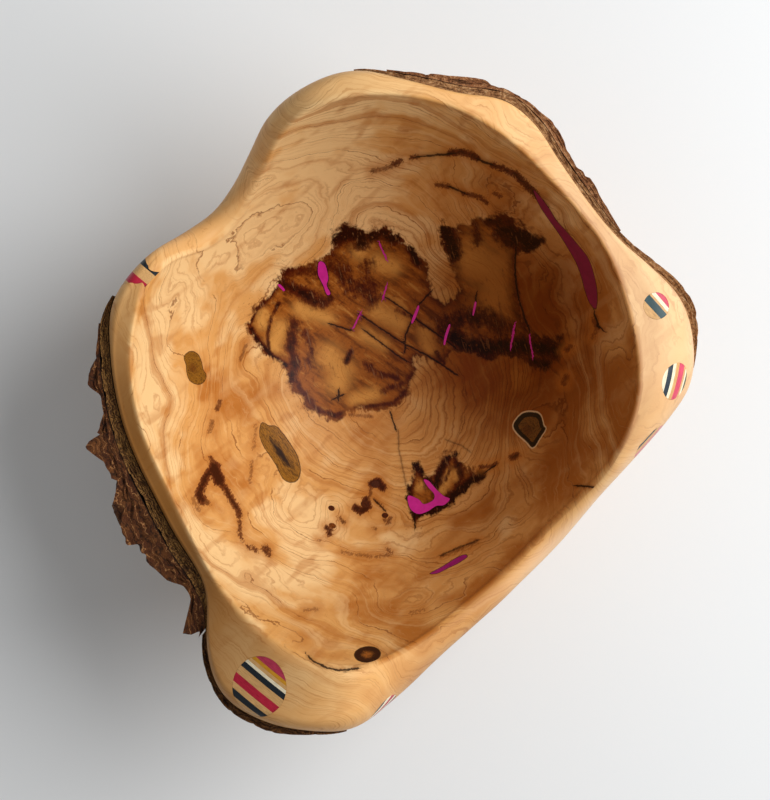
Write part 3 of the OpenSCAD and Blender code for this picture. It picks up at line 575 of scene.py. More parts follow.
def drawnIn(points, share):
    p = np.array(points, float)
    return p.mean(0) + (p - p.mean(0)) * share


resinDepth, knotDepth = 2.4, 3.0
knotRightOutline = [(1.2, 4.8), (-0.4, 4.8), (-1.8, 2.4), (-3, -1.3), (-4, -4.3), (-1, -5.6),
                    (1.4, -6.6), (2, -5.5), (4.4, -3.3), (4.6, -0.4), (3.6, 3)]
inlays = {
    "resinCrescent": ("resin_crescent", resinDepth, [(34, 58, [
        (19.2, -6), (15.8, -2.4), (11.7, -0.5), (7.4, 0.4), (2.6, 1.4), (-1.4, 2.1), (-4.8, 3.4),
        (-8.5, 5.2), (-12, 5.8), (-13.9, 4), (-10.6, 0.2), (-6.6, -2.4), (-2.3, -4.2),
        (2.2, -3.6), (6.4, -3.1), (10, -2.9), (13.8, -4.5)])]),
    "resinBlob": ("resin_blob", resinDepth, [(119.9, 33, [
        (-1.1, -5.8), (0.7, -2.4), (1.0, 1.4), (1.4, 4.7), (0.4, 4.9), (0.2, 2.2), (-1.2, 0.3),
        (-2.2, -4.2)])]),
    "resinFork": ("resin_fork", resinDepth, [(290, 32.5, [
        (-4.4, 2.6), (-5, -1.3), (-3.5, -4), (-0.7, -4.2), (1.8, -3.5), (3.9, -4.2), (5.9, -3.1),
        (4.7, -1.4), (3.5, 1.3), (2.3, 4.8), (1.1, 5.7), (1.5, 3.2), (2.4, 0.5), (1.6, -1.3),
        (-1.1, -1.5), (-2.1, 0.7)])]),
    "resinSliver": ("resin_sliver", resinDepth, [(289.5, 49.5, [
        (-5.3, -1.6), (-3.4, -2.3), (-0.5, -1.5), (2.4, -1), (5.1, 0), (4.6, 1.4), (2.1, 1.3),
        (-0.2, 0.4), (-3, -0.6)])]),
    "resinCracks": ("resin_cracks", resinDepth, [
        (67, 21, [(-0.3, 2.6), (-0.5, 0.4), (-0.3, -2.2), (0.2, -2.6), (0.3, -0.4), (0.2, 2.2)]),
        (39.4, 21.9, [(-1.8, 2.3), (-0.4, 0.3), (1.2, -2.2), (1.7, -2.1), (0.3, 0.5),
                      (-1.3, 2.4)]),
        (40.7, 31.9, [(-1.3, 1.7), (-0.2, -0.2), (0.8, -1.6), (1.2, -1.4), (0.3, 0.2),
                      (-0.9, 1.8)]),
        (136.9, 38, [(-0.3, 1.5), (-0.5, 0), (-0.4, -1.4), (0.1, -1.6), (0.2, 0.2), (0.2, 1.4)])]),
    "knotLeft": ("knot_left", knotDepth, [(175.2, 50, [
        (-2.7, -4.6), (-1, -3.3), (1.1, -2.6), (3.1, -1), (3.9, 2.3), (3.3, 4.9), (1.6, 6.1),
        (0.2, 4.6), (-2.1, 3.3), (-3.8, 1.2), (-4.2, -2.2)])]),
    "knotCentre": ("knot_centre", knotDepth, [(214, 33.6, [
        (-10, -0.1), (-7.9, -2.5), (-4.6, -3.4), (-1.7, -3.3), (1.8, -3.4), (5.4, -4.2),
        (7.3, -3.1), (7.9, -0.8), (6.4, 1.8), (3.4, 3.6), (-0.2, 4.2), (-3.9, 4), (-7.1, 3.3),
        (-8.3, 1.4)])]),
    "knotRightBark": ("knot_right_bark", knotDepth, [(342.7, 39.7, knotRightOutline)]),
    "knotRightCore": ("knot_right_core", knotDepth, [
        (342.7, 39.7, drawnIn(knotRightOutline, 0.74))]),
    "knotRim": ("knot_rim", knotDepth, [(266.3, 65.6, oval(3, 4.6, -10))]),
    "knotPins": ("knots_pin", knotDepth, [
        (249.5, 40, oval(1, 1, 0)), (264.5, 27, oval(1.1, 1.1, 0)),
        (260.5, 32.5, oval(1.2, 1.2, 0)), (270, 35, oval(0.9, 0.9, 0)),
        (246.5, 36, oval(0.9, 0.9, 0))]),
}


def inlayFrame(angle, radius):
    t = math.radians(angle)
    return skinFrame(angle, hollowRow(angle, radius), (-math.sin(t), math.cos(t), 0))


def inMetres(frame4):
    return Matrix([[*row[:3], row[3] * mm] for row in frame4[:3]] + [[0, 0, 0, 1]])


def toLocal(points, frame4):
    return (points - frame4[:3, 3]) @ frame4[:3, :3]


def skinBlock(frame4, depth, rows=None, columns=None, reach=0.0):
    # a thick slab of the fine skin round a spot, in the spot's own frame
    if rows is None:
        q = toLocal(fineSkin.reshape(-1, 3), frame4).reshape(fineSkin.shape)
        near = (np.hypot(q[..., 0], q[..., 1]) < reach) & (fineRows[:, None] >= rowHollow)
        near &= np.abs(q[..., 2]) < 25
        i = np.where(near.any(1))[0]
        rowRange = (max(i[0] - 1, np.searchsorted(fineRows, rowHollow)), i[-1] + 1)
        span = np.where(near.any(0))[0]
        if span[-1] - span[0] > bowl["columns"] / 2:
            span = np.sort(np.where(span > bowl["columns"] / 2, span - bowl["columns"], span))
        colRange = (span[0] - 1, span[-1] + 1)
    else:
        rowRange = tuple(np.searchsorted(fineRows, r - 1e-6) for r in rows)
        colRange = tuple(int(round(c * 3 * bowl["columns"] / 360)) for c in columns)
    picked = np.arange(colRange[0], colRange[1] + 1) % bowl["columns"]
    top = fineSkin[rowRange[0]:rowRange[1] + 1][:, picked]
    lower = top - frame4[:3, 2] * depth
    verts, faces = slabBetween(lower, top)
    return toLocal(verts, frame4), faces


def cylinderOutline(radius, count=96):
    t = np.arange(count) * 2 * math.pi / count
    return np.stack([radius * np.cos(t), radius * np.sin(t)], 1)


def linear(hexColour, alpha=1.0):
    out = []
    for i in (1, 3, 5):
        c = int(hexColour[i:i + 2], 16) / 255
        out.append(c / 12.92 if c <= 0.04045 else ((c + 0.055) / 1.055) ** 2.4)
    return (*out, alpha)


def add(tree, kind, settings=None, links=None, out=0):
    # adds a node, sets it, joins its inputs, and gives back one of its outputs
    node = tree.nodes.new("ShaderNode" + kind)
    for key, value in (settings or {}).items():
        setattr(node, key, value)
    for key, value in (links or {}).items():
        if isinstance(value, bpy.types.NodeSocket):
            tree.links.new(value, node.inputs[key])
        else:
            node.inputs[key].default_value = value
    return node.outputs[out] if node.outputs else node


def newMaterial(name):
    material = bpy.data.materials.new(name)
    material.use_nodes = True
    material.node_tree.nodes.clear()
    return material, material.node_tree


def rising(tree, *parts):
    # one mask from several parts, multiplied: each part is a value, or a value and the two levels
    # that it rises between
    mask = None
    for value, *levels in parts:
        if levels:
            value = add(tree, "MapRange", {"interpolation_type": "SMOOTHSTEP"},
                        {"Value": value, "From Min": levels[0], "From Max": levels[1]})
        mask = value if mask is None else add(tree, "Math", {"operation": "MULTIPLY"},
                                              {0: mask, 1: value})
    return mask


def stirred(tree, value, *parts):
    # a value pushed up and down by noise: each part is a noise and how far it pushes in all
    for noise, push in parts:
        value = add(tree, "Math", {"operation": "MULTIPLY_ADD"}, {0: noise, 1: push, 2: value})
    middle = sum(push for noise, push in parts) / 2
    return add(tree, "Math", {"operation": "SUBTRACT"}, {0: value, 1: middle})


def layered(tree, colour, layers):
    # lays colours one over another: each layer is an amount, a colour, and the parts of its mask
    for amount, hexColour, *parts in layers:
        share = add(tree, "Math", {"operation": "MULTIPLY", "use_clamp": True},
                    {0: rising(tree, *parts), 1: amount})
        colour = add(tree, "Mix", {"data_type": "RGBA"},
                     {0: share, 6: colour, 7: linear(hexColour)}, out=2)
    return colour


# the body's wood: colours, then the sizes of its figure in mm
maple = {
    "pale": "#F2CA90", "honey": "#DA9F5B", "amber": "#B06826", "line": "#7A3E12",
    "fibreDark": "#A3612A", "stain": "#521A08", "heart": "#9C581C", "heartIsland": "#D6994C",
    "heartDeep": "#4E1C02", "red": "#4A0E02", "burn": "#200400", "whisker": "#96643E",
    "crack": "#160703", "resin": "#C02A8C", "oliveShade": "#905A20", "halo": "#D8B88C",
    # the next row's first colour is the painted shade's; its last paints a highlight on the rim
    "paintedShade": "#966A14", "rim": "#E2AE70", "sapwoodHighlight": "#E0C4A8",
    "bandWidth": 5.0, "lineGap": 7.5, "fineGap": 1.7, "fibreWidth": 0.6364, "roughness": 0.42,
}


def figuredMapleOiled():
    # burled maple, turned, sanded and oiled: honey colour, sparse thin growth lines that curl like
    # the contours of a map, faint fibre, a dark burled heart with frayed edges, and a satin sheen
    material, tree = newMaterial("figuredMapleOiled")
    place = add(tree, "TexCoord", out=3)
    inMm = add(tree, "VectorMath", {"operation": "SCALE"}, {0: place, 3: 1000.0})
    read = {}
    for name in ("ring", "along", "heart", "burn", "island", "stain", "stainTint", "crackSide",
                 "crackNear", "crackTint", "edgeGap", "edgePale", "tone", "rimOliveShade",
                 "rimPaleHighlight", "paintedShade", "calm"):
        read[name] = add(tree, "Attribute", {"attribute_name": name}, out=2)

    # noises: scale per mm, detail and roughness; the drawn-out ones have a turn in degrees and
    # their sizes in mm along the turned axes
    noise = {}
    for name, scale, detail, rough, turn, size in (
            ("drift", 0.22, 4.0, 0.55, 0, None),       # bends the growth a little
            ("blotch", 0.055, 3.5, 0.55, 0, None),     # broad paler and darker wood
            ("patchy", 0.10, 2.0, 0.5, 0, None),       # where lines and whiskers show at all
            ("ragged", 0.7, 5.0, 0.7, 0, None),        # frays every edge
            ("speck", 1.5, 3.0, 0.6, 0, None),
            ("lobes", 0.28, 3.0, 0.55, 0, None),       # waves of the heart's edge
            ("whiskers", 1.0, 3.0, 0.6, 16, (0.7, 5.5, 3.0)),
            ("streaks", 1.0, 4.0, 0.6, -36, (9.0, 1.8, 4.0)),
            ("hatch", 1.0, 2.0, 0.6, -28, (0.32, 1.7, 1.0))):
        at = inMm if size is None else add(
            tree, "Mapping", {"vector_type": "TEXTURE"},
            {"Vector": inMm, "Rotation": (0.0, 0.0, math.radians(turn)), "Scale": size})
        noise[name] = add(tree, "TexNoise", None, {"Vector": at, "Scale": scale, "Detail": detail,
                                                   "Roughness": rough})
    ragged, speck, whiskers, streaks = (noise[name] for name in
                                        ("ragged", "speck", "whiskers", "streaks"))

    # the growth: bands across it, fibre drawn out along it, and curl, a shimmer across it
    ring = add(tree, "Math", {"operation": "MULTIPLY_ADD"},
               {0: noise["drift"], 1: 3.0, 2: read["ring"]})
    bands = add(tree, "TexNoise", {"noise_dimensions": "1D"},
                {"W": ring, "Scale": 1 / maple["bandWidth"], "Detail": 3.0, "Roughness": 0.6})
    onGrain = add(tree, "CombineXYZ", None, {0: ring, 1: read["along"]})
    drawn = {}
    for name, perMm, detail, rough in (("fibre", (1 / maple["fibreWidth"], 0.077, 0.0), 4.0, 0.65),
                                       ("curl", (0.10, 0.24, 0.0), 2.0, 0.5)):
        at = add(tree, "VectorMath", {"operation": "MULTIPLY"}, {0: onGrain, 1: perMm})
        drawn[name] = add(tree, "TexNoise", {"noise_dimensions": "2D"},
                          {"Vector": at, "Scale": 1.0, "Detail": detail, "Roughness": rough})
    fibre, curl = drawn["fibre"], drawn["curl"]
    waver = add(tree, "Math", {"operation": "MULTIPLY_ADD"}, {0: ragged, 1: 0.35, 2: ring})
    # distance of the growth from the nearest line, in mm; each line is a hair to 0.3 mm wide
    toLine, toFineLine = (add(tree, "Math", {"operation": "PINGPONG"}, {0: waver, 1: gap / 2})
                          for gap in (maple["lineGap"], maple["fineGap"]))
    lines = rising(tree, (toLine, 0.16, 0.03), (noise["patchy"], 0.36, 0.52))
    # the painted shade also makes the fine growth lines show more, and darker, towards the right
    # wall
    paintedShadeAndBlotch = add(tree, "Math", {"operation": "MULTIPLY_ADD"},
                   {0: read["paintedShade"], 1: 0.14, 2: noise["blotch"]})
    fineLines = rising(tree, (toFineLine, 0.26, 0.02), (paintedShadeAndBlotch, 0.44, 0.58))
    tone = add(tree, "Math", {"operation": "ADD"}, {0: noise["blotch"], 1: read["tone"]})
    base = layered(tree, linear(maple["honey"]), [
        (0.88, maple["pale"], (tone, 0.51, 0.68)),
        (0.90, maple["amber"], (tone, 0.48, 0.28)),
        (0.50, maple["amber"], (bands, 0.51, 0.72)),
        (0.36, maple["pale"], (bands, 0.48, 0.26)),
        (0.18, maple["pale"], (curl, 0.52, 0.76)),
        (0.42, maple["amber"], (curl, 0.45, 0.28)),
        (0.36, maple["fibreDark"], (fibre, 0.54, 0.76)),
        (0.22, maple["pale"], (fibre, 0.46, 0.24)),
        (0.36, maple["fibreDark"], (fineLines,)),
        (0.45, maple["line"], (fineLines,), (read["paintedShade"],)),
        (0.70, maple["line"], (lines,)),
        (0.60, maple["rim"], (read["calm"],)),
        (0.40, maple["fibreDark"], (fibre, 0.52, 0.74), (read["calm"],)),
        # partly painted shade: olive on the rim's outward-falling left face
        (0.86, maple["oliveShade"], (read["rimOliveShade"],)),
        # painted highlight: pale sapwood colour where the light falls on the right and lower-right
        # rim
        (0.55, maple["sapwoodHighlight"], (read["rimPaleHighlight"],)),
    ])

    # heart: its edge is frayed by whiskers that lean one way, streaks run across them
    leaning = add(tree, "Math", {"operation": "SUBTRACT"}, {0: whiskers, 1: 0.5})
    tufts = rising(tree, (leaning,), (noise["patchy"], 0.38, 0.62))
    frayed = stirred(tree, read["heart"], (noise["lobes"], 5.0), (ragged, 2.4))
    frayed = add(tree, "Math", {"operation": "MULTIPLY_ADD"}, {0: tufts, 1: 3.2, 2: frayed})
    burnt = stirred(tree, read["burn"], (whiskers, 0.8), (ragged, 0.8), (noise["lobes"], 0.9))
    heart = layered(tree, linear(maple["heart"]), [
        (0.75, maple["heartDeep"], (streaks, 0.46, 0.66)),
        (0.45, maple["heartDeep"], (ragged, 0.50, 0.68)),
        (0.45, maple["heartDeep"], (fibre, 0.50, 0.76)),
        (0.50, maple["heartIsland"], (streaks, 0.44, 0.30)),
        (0.85, maple["heartIsland"], (read["island"],)),
        (0.50, maple["heart"], (fibre, 0.54, 0.74), (read["island"],)),
        (0.45, maple["red"], (frayed, 2.6, 0.4)),
        (0.70, maple["red"], (frayed, 0.9, 0.2), (streaks, 0.35, 0.55)),
        (0.85, maple["red"], (burnt, 0.12, 0.60)),
        (0.94, maple["burn"], (burnt, 0.45, 0.95)),
        (0.50, maple["whisker"], (whiskers, 0.60, 0.65), (burnt, 0.2, 0.5)),
    ])
    inHeart = rising(tree, (frayed, -0.7, 0.6))
    colour = add(tree, "Mix", {"data_type": "RGBA"}, {0: inHeart, 6: base, 7: heart}, out=2)

    # painted shade: browner, richer wood towards the right wall, which the light from the right
    # leaves in shade
    colour = add(tree, "Mix", {"data_type": "RGBA", "blend_type": "MULTIPLY"},
                 {0: read["paintedShade"], 6: colour, 7: linear(maple["paintedShade"])}, out=2)

    # stains, cracks, thin resin in cracks, and the glue line round each inlay
    stainEdge = stirred(tree, read["stain"], (ragged, 2.0))
    stained = stirred(tree, read["stain"], (ragged, 1.2), (noise["hatch"], 1.5))
    wander = add(tree, "Math", {"operation": "ABSOLUTE"},
                 {0: stirred(tree, read["crackSide"], (ragged, 1.1))})
    cracked = rising(tree, (wander, 0.32, 0.12), (read["crackNear"], 0.2, 0.5))
    gap = stirred(tree, read["edgeGap"], (speck, 0.3))
    colour = layered(tree, colour, [
        (0.55, maple["amber"], (stainEdge, -2.4, 0.3)),
        (0.40, maple["line"], (speck, 0.60, 0.68), (read["heart"], -6.5, -1.5)),
        (0.92, maple["stain"], (stained, -0.15, 0.30), (read["stainTint"],)),
        (0.70, maple["burn"], (stained, 0.35, 0.80), (read["stainTint"],)),
        (0.45, maple["stain"], (wander, 1.1, 0.2), (read["crackNear"],)),
        (0.90, maple["crack"], (cracked,)),
        (1.00, maple["resin"], (cracked,), (read["crackTint"],)),
        (0.80, maple["halo"], (gap, 0.75, 0.45), (read["edgePale"],)),
        (0.90, maple["crack"], (gap, 0.34, 0.12)),
    ])

    # satin: a little rougher on the fibre, with the pores and cracks below the surface
    rough = add(tree, "Math", {"operation": "MULTIPLY_ADD"},
                {0: fibre, 1: 0.10, 2: maple["roughness"] - 0.05})
    deep = add(tree, "Math", {"operation": "MULTIPLY"}, {0: cracked, 1: -1.5})
    height = add(tree, "Math", {"operation": "MULTIPLY_ADD"}, {0: fibre, 1: 0.5, 2: deep})
    bump = add(tree, "Bump", None, {"Strength": 0.25, "Distance": 0.00008, "Height": height})
    shader = add(tree, "BsdfPrincipled", None,
                 {"Base Color": colour, "Roughness": rough, "Normal": bump, "IOR": 1.48,
                  "Specular IOR Level": 0.12, "Coat Weight": 0.02, "Coat Roughness": 0.25})
    add(tree, "OutputMaterial", None, {0: shader})
    return material


def dyedVeneer(name, dyed):
    # birch ply dyed through and sanded flush: one colour, with pores 0.2 mm wide and 2 mm long
    # drawn out along the ply
    material, tree = newMaterial(name)
    place = add(tree, "TexCoord", out=3)
    drawn = add(tree, "Mapping", None, {"Vector": place, "Scale": (6000, 500, 6000)})
    grain = add(tree, "TexNoise", None,
                {"Vector": drawn, "Scale": 1.0, "Detail": 3.0, "Roughness": 0.6})
    dark = tuple(c * 0.72 for c in linear(dyed)[:3]) + (1.0,)
    pale = tuple(min(1, c * 1.15 + 0.01) for c in linear(dyed)[:3]) + (1.0,)
    share = add(tree, "MapRange", None,
                {"Value": grain, "From Min": 0.35, "From Max": 0.7})
    colour = add(tree, "Mix", {"data_type": "RGBA"}, {0: share, 6: pale, 7: dark}, out=2)
    bump = add(tree, "Bump", None,
               {"Strength": 0.2, "Distance": 0.00005, "Height": grain})
    shader = add(tree, "BsdfPrincipled", None,
                 {"Base Color": colour, "Roughness": 0.4, "Normal": bump, "Specular IOR Level": 0.3,
                  "Coat Weight": 0.05, "Coat Roughness": 0.3})
    add(tree, "OutputMaterial", None, {0: shader})
    return material


def castResin(name, bright, deep):
    # magenta epoxy, poured and sanded flush: deep colour, faint clouds 2 mm across, and a face
    # smoother than the wood
    material, tree = newMaterial(name)
    place = add(tree, "TexCoord", out=3)
    cloud = add(tree, "TexNoise", None,
                {"Vector": place, "Scale": 450.0, "Detail": 4.0, "Roughness": 0.6})
    colour = add(tree, "Mix", {"data_type": "RGBA"},
                 {0: cloud, 6: linear(bright), 7: linear(deep)}, out=2)
    shader = add(tree, "BsdfPrincipled", None,
                 {"Base Color": colour, "Roughness": 0.3, "IOR": 1.52,
                  "Specular IOR Level": 0.25, "Coat Weight": 0.06, "Coat Roughness": 0.12})
    add(tree, "OutputMaterial", None, {0: shader})
    return material


def knotWood(name, middle, outer, dark, squeeze):
    # end grain of a branch, sanded with the bowl: rings round its pith, darker than the maple
    material, tree = newMaterial(name)
    place = add(tree, "TexCoord", out=3)
    inMm = add(tree, "Mapping", None,
               {"Vector": place, "Scale": (1000 * squeeze[0], 1000 * squeeze[1], 1000)})
    bent, fleck = (add(tree, "TexNoise", None, {"Vector": inMm, "Scale": scale, "Detail": detail,
                                                "Roughness": rough})
                   for scale, detail, rough in ((0.9, 3.0, 0.6), (1.5, 4.0, 0.7)))
    radius = add(tree, "VectorMath", {"operation": "LENGTH"}, {0: inMm}, out=1)
    # the rings are 0.66 mm apart and bent by up to 3 mm
    phase = add(tree, "Math", {"operation": "MULTIPLY_ADD"}, {0: bent, 1: 3.2, 2: radius})
    rings = add(tree, "Math", {"operation": "PINGPONG"}, {0: phase, 1: 0.33})
    colour = layered(tree, linear(middle), [(1.0, outer, (phase, 2.2, 4.0)),
                                            (0.50, dark, (rings, 0.2, 0.03)),
                                            (0.65, dark, (fleck, 0.5, 0.64))])
    shader = add(tree, "BsdfPrincipled", None,
                 {"Base Color": colour, "Roughness": 0.42, "Specular IOR Level": 0.2,
                  "Coat Weight": 0.04, "Coat Roughness": 0.25})
    add(tree, "OutputMaterial", None, {0: shader})
    return material


def barkMaterial(name, flesh, ridge, crevice, line, lineGap):
    # air-dried bark, only brushed: corky plates with near-black gaps between them, darkened further
    # as painted shade where they cut in deep, and thin pale orange lines where the layers are cut
    # through
    material, tree = newMaterial(name)
    place = add(tree, "TexCoord", out=3)
    inMm = add(tree, "VectorMath", {"operation": "SCALE"}, {0: place, 3: 1000.0})
    depth, raised = (add(tree, "Attribute", {"attribute_name": wanted}, out=2)
                     for wanted in ("depth", "raised"))
    plates, fine, warp = (add(tree, "TexNoise", None, {"Vector": inMm, "Scale": scale,
                                                       "Detail": detail, "Roughness": rough})
                          for scale, detail, rough in ((0.32, 6.0, 0.62), (2.4, 5.0, 0.7),
                                                       (0.22, 3.0, 0.5)))
    # the layers, bent hard, show as lines of uneven strength
    bent = depth
    for noise, push in ((warp, 9.0), (plates, 2.5)):
        bent = add(tree, "Math", {"operation": "MULTIPLY_ADD"}, {0: noise, 1: push, 2: bent})
    layers = add(tree, "Math", {"operation": "PINGPONG"}, {0: bent, 1: lineGap / 2})
    colour = layered(tree, linear(flesh), [
        (0.80, ridge, (plates, 0.42, 0.64)), (0.60, crevice, (fine, 0.50, 0.68)),
        (0.75, crevice, (layers, lineGap / 2 - 0.3, lineGap / 2)),
        (0.80, line, (layers, 0.15, 0.05), (fine, 0.38, 0.56)),
        # partly painted shade: darker where the relief cuts in deeper and on the faces against the
        # wood
        (0.90, crevice, (raised, 0.60, 0.25))])
    height = add(tree, "Math", {"operation": "MULTIPLY_ADD"}, {0: plates, 1: 2.5, 2: fine})
    bump = add(tree, "Bump", None, {"Strength": 0.9, "Distance": 0.0009, "Height": height})
    shader = add(tree, "BsdfPrincipled", None,
                 {"Base Color": colour, "Roughness": 0.88, "Normal": bump,
                  "Specular IOR Level": 0.3})
    add(tree, "OutputMaterial", None, {0: shader})
    return material


# the turned bowl: foot, skin and hollow in one closed surface, then the bores and pockets
footRadius = bowl["footDiameter"] / 2
recessRadius = footRadius - bowl["footRing"]
underProfile = [(r, bowl["footRecess"]) for r in (3, 6, 9, 12, 15, 18)]
underProfile += [(recessRadius - 0.4, bowl["footRecess"]), (recessRadius, bowl["footRecess"] - 0.3),
                 (recessRadius, 0.3), (recessRadius + 0.3, 0.0), (footRadius - 3, 0.0),
                 (footRadius - 0.4, 0.0), (footRadius, 0.4), (footRadius, 2.0),
                 (footRadius, bowl["footHeight"] - 0.4), (footRadius + 0.3, bowl["footHeight"])]
t = np.radians(fineAngles)
underRows = np.array([np.stack([r * np.cos(t), r * np.sin(t), np.full(len(t), z)], 1)
                      for r, z in underProfile]) + axis
woodGrid = np.concatenate([underRows, fineSkin])
floorCentre = axis + (0, 0, bowl["floorThickness"])
wood = newObject("turnedMapleBowl",
                 closedGrid(woodGrid, axis + (0, 0, bowl["footRecess"]), floorCentre))

cuts = []
for name, plug in plugs.items():
    at = skinFrame(plug["angle"], plug["row"], plug["along"])
    outline = cylinderOutline(plug["diameter"] / 2 + glueLine)
    cuts.append(moved(prism(outline, -plug["depth"], proud), at))
inlayFrames = {}
for name, (node, depth, spots) in inlays.items():
    inlayFrames[name] = [inlayFrame(angle, radius) for angle, radius, outline in spots]
    if name == "knotRightCore":
        continue
    for at, (angle, radius, outline) in zip(inlayFrames[name], spots):
        cuts.append(moved(prism(smoothOutline(outline), -depth, proud), at))
booleanOf(wood, joined(cuts), "DIFFERENCE")
print("wood cut:", len(wood.data.polygons), "faces")


def verticesOf(obj):
    co = np.zeros(len(obj.data.vertices) * 3, np.float32)
    obj.data.vertices.foreach_get("co", co)
    return co.reshape(-1, 3).astype(float) / mm


def setAttribute(obj, name, values):
    attribute = obj.data.attributes.new(name, "FLOAT", "POINT")
    attribute.data.foreach_set("value", np.asarray(values, np.float32))


def strokes(xy, rows):
    # strongest of several soft strokes, each a width, a strength and a run
    total = np.zeros(len(xy))
    for width, strength, run in rows:
        distance = strokeDistance(xy, run)[0]
        total = np.maximum(total, strength * np.exp(-(distance / width) ** 2 * 0.8))
    return total


def softSpots(plan, rows):
    # soft ovals, each a middle, a reach and a strength
    return [strength * np.exp(-((plan[:, 0] - x) / reachX) ** 2
                              - ((plan[:, 1] - y) / reachY) ** 2)
            for x, y, reachX, reachY, strength in rows]


def facing(angle, middle, reach, power):
    # 1 in one direction from the axis, falling off round the bowl
    return np.exp(-((np.mod(angle - middle + 180, 360) - 180) / reach) ** power)


def inlayEdges(points, ring):
    # distance in mm from the nearest inlay, whether it has the pale ring round it, and the growth
    # bent round each knot
    edgeGap, edgePale = np.full(len(points), 5.0), np.zeros(len(points))
    thin = {"knotPins": 0.3, "resinCracks": 0.15, "resinFork": 0.15}  # fainter glue lines
    for name, (node, depth, spots) in inlays.items():
        for at, (angle, radius, outline) in zip(inlayFrames[name], spots):
            q = toLocal(points, at)
            away = np.linalg.norm(q, axis=1)
            if name.startswith("knot") and name != "knotRightCore":
                size = 4.0 if name == "knotPins" else 11.0
                ring = ring + size * 0.8 * np.exp(-(away / size) ** 2)
            near = np.where((away < 30) & (np.abs(q[:, 2]) < 6))[0]
            distance = -signedDistance(q[near, :2], smoothOutline(outline, 4))
            distance = np.maximum(distance, 0) + thin.get(name, 0.0)
            nearer = distance < edgeGap[near]
            edgePale[near] = np.where(nearer, name == "knotRightBark", edgePale[near])
            edgeGap[near] = np.minimum(edgeGap[near], distance)
    return edgeGap, edgePale, ring


def woodFields(points):
    across, along = rotatedPlan(points)
    z = points[:, 2]
    plan = points[:, :2] - axis[:2]
    radius = np.hypot(plan[:, 0], plan[:, 1])
    angle = np.degrees(np.arctan2(plan[:, 1], plan[:, 0]))
    offMouth = radius - mouthAt(angle)
    inside = (offMouth < 1.5) & (np.abs(z - hollowZ(np.minimum(radius, 75))) < 4 + radius * 0.05)
    # growth: rings round the middle of the bowl, bent by slow noise into loops
    ring = np.hypot(across, 0.75 * along) + 0.2 * z
    for push, size, seed in ((14, 30, 1), (5, 13, 2), (1.2, 5.5, 3)):
        ring = ring + push * softNoise(points, size, seed)
    edgeGap, edgePale, ring = inlayEdges(points, ring)

    heart = np.max([signedDistance(plan, smoothOutline(outline, 3))
                    for outline in figure["heart"]], axis=0)
    heart = np.where(inside, np.clip(heart, -8, 12), -8)
    stain, stainTint = np.full(len(points), -3.0), np.zeros(len(points))
    for width, strength, run in figure["stains"]:
        inStain = width - strokeDistance(plan, run)[0]
        stainTint = np.where(inStain > stain, strength, stainTint)
        stain = np.maximum(stain, inStain)
    crackDistance, crackSide = np.full(len(points), 5.0), np.full(len(points), 5.0)
    crackNear, crackTint = np.zeros(len(points)), np.zeros(len(points))
    for strength, tint, run in figure["cracks"]:
        distance, side = strokeDistance(plan, run)
        nearer = distance < crackDistance
        crackDistance = np.where(nearer, distance, crackDistance)
        crackSide = np.where(nearer, side, crackSide)
        crackNear = np.where(nearer, strength * np.exp(-distance ** 2), crackNear)
        crackTint = np.where(nearer, tint, crackTint)

    # painted light and shade: the wood is paler up the lit left side and browner to the shaded
    # right, except close to the mouth
    toRight = np.clip((plan[:, 0] - 0.3 * plan[:, 1]) / 60, -1, 1)
    tone = 0.08 * softNoise(points, 22, 5) + np.where(inside, -0.02 - 0.15 * toRight, 0.03)
    atRim = {name: facing(angle, *spot) for name, spot in figure["rimTones"].items()}
    tone += sum(softSpots(plan, figure["toneAndLightSpots"])) - 0.16 * atRim["shade"] * ~inside
    # painted shade of the right wall and floor, weaker on the heart and near the mouth
    floorPaintedShade, wallPaintedShade = softSpots(plan, figure["paintedShadeSpots"])
    paintedShade = np.max([np.clip(floorPaintedShade, 0, 0.93), wallPaintedShade,
                   0.5 * np.clip((plan[:, 0] + 10) / 40, 0, 1)], axis=0) * inside
    paintedShade *= 1 - 0.22 * np.clip(heart / 3, 0, 1)
    paintedShade *= 1 - 0.6 * np.clip((offMouth + 9) / 7, 0, 1)
    # the rim: olive, partly painted shade, along the left; painted shade at the bottom; a painted
    # highlight in a pale sapwood colour at the right
    onRim = np.clip((offMouth - 0.6) / 1.2, 0, 1)
    offWall = np.clip(offMouth - 0.2, 0, 1)
    # painted shade on the bottom rim as well
    paintedShade = np.maximum(paintedShade, 0.42 * offWall * atRim["brown"])
    # painted highlight on the outer round at the lower right and on the right rim
    rimPaleHighlight = np.maximum(np.clip((offMouth - 2) / 2.5, 0, 1) * atRim["sapwoodHighlight"],
                         0.55 * offWall * atRim["pale"])
    return {
        "ring": ring, "along": along, "heart": heart,
        "burn": strokes(plan, figure["burns"]) * inside,
        "island": strokes(plan, [(width, 1.0, run) for width, run in figure["islands"]]) * inside,
        "stain": np.where(inside, stain, -3), "stainTint": stainTint, "crackSide": crackSide,
        "crackNear": crackNear * inside, "crackTint": crackTint, "edgeGap": edgeGap,
        "edgePale": edgePale, "tone": tone, "rimOliveShade": onRim * atRim["oliveShade"],
        "rimPaleHighlight": rimPaleHighlight, "paintedShade": paintedShade, "calm": np.maximum(onRim, ~inside),
    }


for name, values in woodFields(verticesOf(wood)).items():
    setAttribute(wood, name, values)
finishPiece(wood, "bowl_wood", figuredMapleOiled(), 32)

